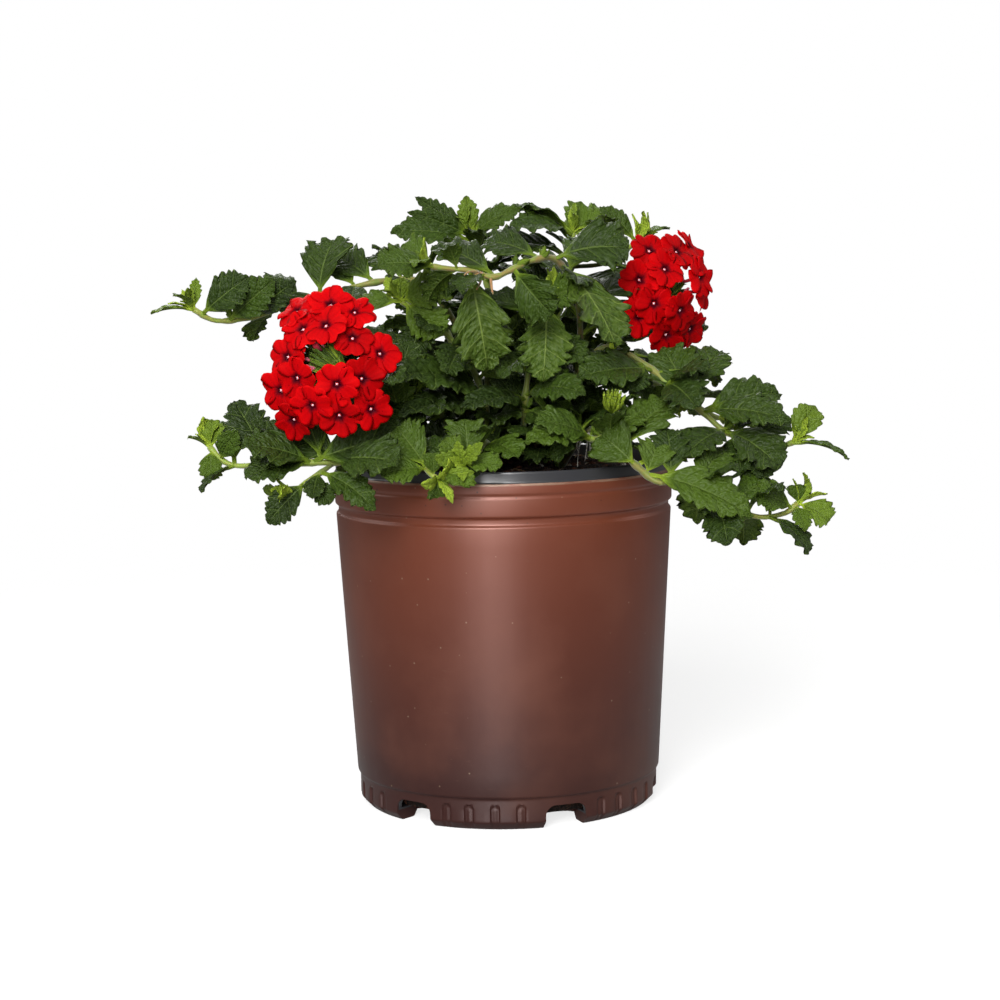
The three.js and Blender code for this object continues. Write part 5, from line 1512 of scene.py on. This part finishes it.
def addPebbles(soup, centres, sizes, look, rng, kind):
    # a grain: four rings of six corners, each corner pushed in or out by up to a third
    count = len(centres)
    rows = np.array([0.25, 0.85, 0.85, 0.25])[:, None] * np.ones(6)
    a = np.arange(6) * np.pi / 3
    high = np.array([-0.9, -0.4, 0.35, 0.85])[:, None] * np.ones(6)
    shape = np.stack([rows * np.cos(a), rows * np.sin(a), high * 0.75], axis=-1)
    shape = shape * (1 + rng.uniform(-0.33, 0.33, (count, 4, 6, 1)))
    turn = rng.uniform(0, 2 * np.pi, count)[:, None, None]
    lean = rng.uniform(-0.9, 0.9, count)[:, None, None]
    x = shape[..., 0] * np.cos(turn) - shape[..., 1] * np.sin(turn)
    y = shape[..., 0] * np.sin(turn) + shape[..., 1] * np.cos(turn)
    y, z = y * np.cos(lean) - shape[..., 2] * np.sin(lean), y * np.sin(lean) + shape[..., 2] * np.cos(lean)
    points = centres[:, None, None] + np.stack([x, y, z], axis=-1) * sizes[:, None, None, None]
    addSkins(soup, points, (0, 0), look, kind)


def makeSoil(soilMat, perliteMat, stemMat):
    # Rings run out over the mound, soilTop + clod fineLumps, then down the wall and in under it. Grains lie
    # on it at r = radius sqrt(u), which spreads them evenly.
    m = soilMake
    rng = np.random.default_rng(77)
    soup = newSoup()
    share = np.concatenate([np.linspace(0.012, 1, m["rings"]), [1, 0.985, 0.94, 0.012]])[:, None]
    a = -np.arange(m["columns"]) * 2 * np.pi / m["columns"]
    x, y = share * m["radius"] * np.cos(a), share * m["radius"] * np.sin(a)
    z = soilTop(x, y) + m["clod"] * fineLumps(x, y, rng) * np.clip((1 - share) * 12, 0, 1)
    z[-4:] = np.array([144, 120, m["floor"], m["floor"]])[:, None]
    narrow = np.where(np.arange(len(share)) >= m["rings"] + 2, m["bottomRadius"] / m["radius"], 1)[:, None]
    points = np.stack([x * narrow, y * narrow, z], axis=-1)
    addSkins(soup, points, (0, 0), (0.5, 0, 0, 0), 0)
    for count, size, kind in ((m["crumbs"], m["crumbSize"], 0), (m["perlite"], m["perliteSize"], 1)):
        r = m["radius"] * 0.97 * np.sqrt(rng.uniform(0, 1, count))
        turn = rng.uniform(0, 2 * np.pi, count)
        x, y = r * np.cos(turn), r * np.sin(turn)
        sizes = rng.uniform(*size, count)
        centres = np.stack([x, y, soilTop(x, y) + 0.5 + sizes * 0.25], axis=-1)
        addPebbles(soup, centres, sizes, (0.5, 0, 0, 0), rng, kind)
    for k in range(m["fibres"]):
        r = m["radius"] * 0.92 * math.sqrt(rng.uniform())
        turn, way = rng.uniform(0, 6.28), rng.uniform(0, 6.28)
        t = np.linspace(-1, 1, 7)
        x = r * math.cos(turn) + rng.uniform(*m["fibreHalf"]) * t * math.cos(way) + 0.8 * np.sin(3 * t + k)
        y = r * math.sin(turn) + rng.uniform(*m["fibreHalf"]) * t * math.sin(way) + 0.8 * np.cos(2 * t + k)
        path = np.stack([x, y, soilTop(x, y) + 1.4 + 0.7 * np.cos(2 * t)], axis=-1)
        thick = np.full(len(t), rng.uniform(*m["fibreRadius"]))
        addTube(soup, path, thick, (rng.uniform(0.2, 0.8), 0, 1, 0), 4, kind=2)
    for k in range(m["airRoots"]):
        # white roots hang from the lowest stem: a slack line from the stem to a place over the mix
        t = np.linspace(0, 1, 9)[:, None]
        x, y, z = m["rootFrom"]
        first = np.array([x + rng.uniform(-2, 2), y + rng.uniform(-1, 1), z])
        last = first + [rng.uniform(-5, 4), rng.uniform(-1, 4), -rng.uniform(9, 17)]
        path = first + (last - first) * t + rng.normal(size=3) * [1.2, 1.2, 0] * np.sin(t * np.pi)
        addTube(soup, path, 0.32 - 0.14 * t[:, 0], (0.5, 0, 0, 0), 6, kind=1)
    makePiece("soil_dressed", soup, [soilMat, perliteMat, stemMat], ["soil"])


# ---- the scene ----
def addFloor(material):
    # a flat round sheet: radius grows with the ring, angle with the spoke, and the middle is one point
    rings, spokes = floorSheet["rings"], floorSheet["spokes"]
    r = np.linspace(0, floorSheet["radius"], rings + 1)[1:, None]
    a = np.arange(spokes) * 2 * np.pi / spokes
    verts = together(r * np.cos(a), r * np.sin(a), 0.0 * r).reshape(-1, 3)
    index = 1 + np.arange(rings * spokes).reshape(rings, spokes)
    ahead = np.roll(index, -1, axis=1)
    quads = np.stack([index[:-1], index[1:], ahead[1:], ahead[:-1]], axis=-1).reshape(-1, 4)
    tris = np.stack([np.zeros(spokes, int), index[0], ahead[0]], axis=-1)
    mesh = bpy.data.meshes.new("paperFloor")
    mesh.from_pydata([[0, 0, 0]] + (verts * mm).tolist(), [], quads.tolist() + tris.tolist())
    mesh.materials.append(material)
    placeObject("paperFloor", mesh)


bpy.context.scene.view_settings.view_transform = "Standard"
addCamera()
addLamps()
addAir()
addFloor(floorMaterial())
print("studio ready")
makePot(potMaterial())
stemMat = stemMaterial()
makeSoil(soilMaterial(), perliteMaterial(), stemMat)
addFarShoots()
leafMat, petalMat = leafMaterial(), petalMaterial()
for seed, (name, shoot) in enumerate(shoots.items()):
    makeShoot(name, shoot, seed, leafMat, stemMat, petalMat)
